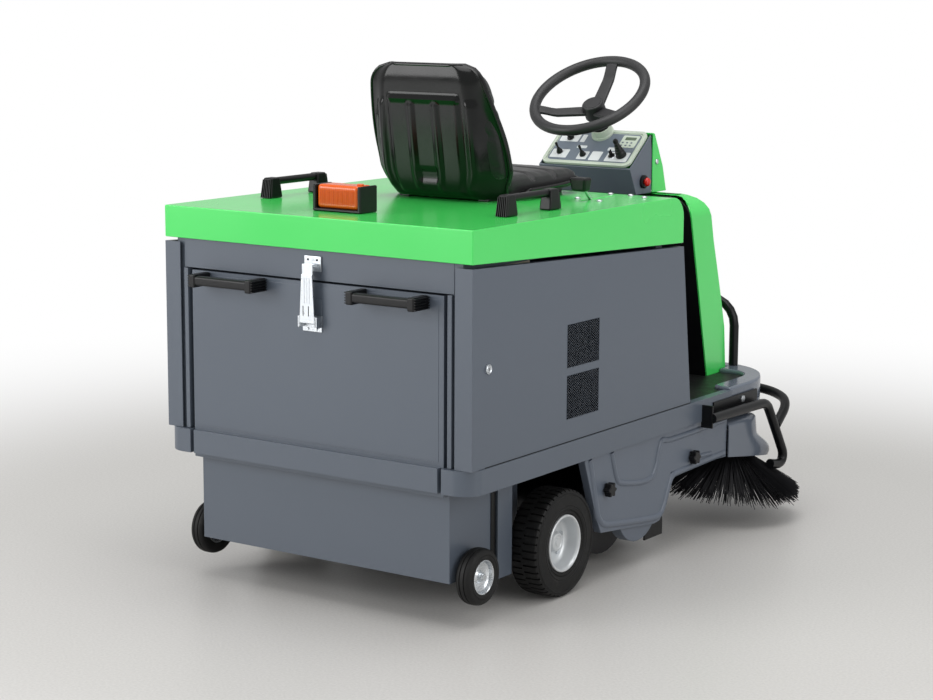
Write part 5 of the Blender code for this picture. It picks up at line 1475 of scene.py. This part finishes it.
# %% Carried-over nodes
CARRIED = {
    "rear_axle": ZINC, "broom_flap": MAT_RUBBER, "filter_box": CREAM_PAPER,
    "front_wheel": TYRE_RUBBER, "main_broom": NYLON,
}
for node, material in CARRIED.items():
    NODES[node].data.materials.clear()
    NODES[node].data.materials.append(material)
print("carried over", len(CARRIED))

# %% [markdown]
# **Floor and light.** A pale sealed floor carries the shadow and fades to white behind the
# machine, so the outline stays clear. Three large soft lamps light it as a studio would: one
# high over the deck, one from the rear left and a weaker one from the right.

# %% Studio
deselect()
bpy.ops.mesh.primitive_plane_add(size=60, location=(0, 0, 0))
floor = named("floor")
FLOOR, floor_tree, floor_shader, floor_place = new_material("concrete, sealed, pale")
far = add(floor_tree, "ShaderNodeVectorMath", {"operation": "LENGTH"}, (), {0: floor_place})
fade = add(floor_tree, "ShaderNodeMapRange", {"interpolation_type": "SMOOTHSTEP"},
           {"From Min": 1.3, "From Max": 3.6}, {"Value": far.outputs["Value"]}).outputs["Result"]
fleck = add(floor_tree, "ShaderNodeTexNoise", (), {"Scale": 160.0, "Detail": 6.0}, {"Vector": floor_place})
even = add(floor_tree, "ShaderNodeMapRange", (), {"From Min": 0.3, "From Max": 0.7},
           {"Value": fleck.outputs["Fac"]})
near = add(floor_tree, "ShaderNodeMix", {"data_type": "RGBA"}, {6: linear("#BDBBB8"), 7: linear("#C9C7C4")},
           {0: even.outputs["Result"]})
pale = add(floor_tree, "ShaderNodeMix", {"data_type": "RGBA"}, {7: linear("#FFFFFF")},
           {0: fade, 6: near.outputs[2]})
floor_tree.links.new(pale.outputs[2], floor_shader.inputs["Base Color"])
tune(floor_shader, {"Roughness": 0.38})
floor_path = add(floor_tree, "ShaderNodeLightPath")
white = add(floor_tree, "ShaderNodeEmission", (), {"Color": (1, 1, 1, 1), "Strength": 1.0})
seen_far = add(floor_tree, "ShaderNodeMath", {"operation": "MULTIPLY"}, (),
               {0: fade, 1: floor_path.outputs["Is Camera Ray"]})
blend = add(floor_tree, "ShaderNodeMixShader", (), (),
            {0: seen_far.outputs["Value"], 1: floor_shader.outputs["BSDF"], 2: white.outputs["Emission"]})
floor_tree.links.new(blend.outputs["Shader"], floor_tree.nodes["Material Output"].inputs["Surface"])
floor.data.materials.append(FLOOR)

world = bpy.data.worlds.new("studio")
bpy.context.scene.world = world
world.use_nodes = True
sky = world.node_tree
path = add(sky, "ShaderNodeLightPath")
seen = add(sky, "ShaderNodeMath", {"operation": "MAXIMUM"}, (),
           {0: path.outputs["Is Camera Ray"], 1: path.outputs["Is Transmission Ray"]})
dim = {"To Min": 0.55, "To Max": 1.0}
strength = add(sky, "ShaderNodeMapRange", (), dim, {"Value": seen.outputs["Value"]})
sky.links.new(strength.outputs["Result"], sky.nodes["Background"].inputs["Strength"])
sky.nodes["Background"].inputs["Color"].default_value = (1, 1, 1, 1)


def lamp(name, place, aim, size, watts):
    data = bpy.data.lights.new(name, "AREA")
    data.energy = watts
    data.size = size
    obj = bpy.data.objects.new(name, data)
    bpy.context.scene.collection.objects.link(obj)
    obj.location = place
    obj.rotation_euler = (Vector(aim) - Vector(place)).to_track_quat("-Z", "Y").to_euler()


lamp("over_deck", (0.3, -0.3, 4.0), (0, 0, 0.5), 3.5, 100)
lamp("rear_left", (-3.0, -4.5, 2.2), (0, 0, 0.5), 3.0, 150)
lamp("right_side", (5.0, -0.5, 2.4), (0, 0, 0.5), 3.0, 80)
bpy.context.scene.view_settings.view_transform = "Standard"
print("studio ready")
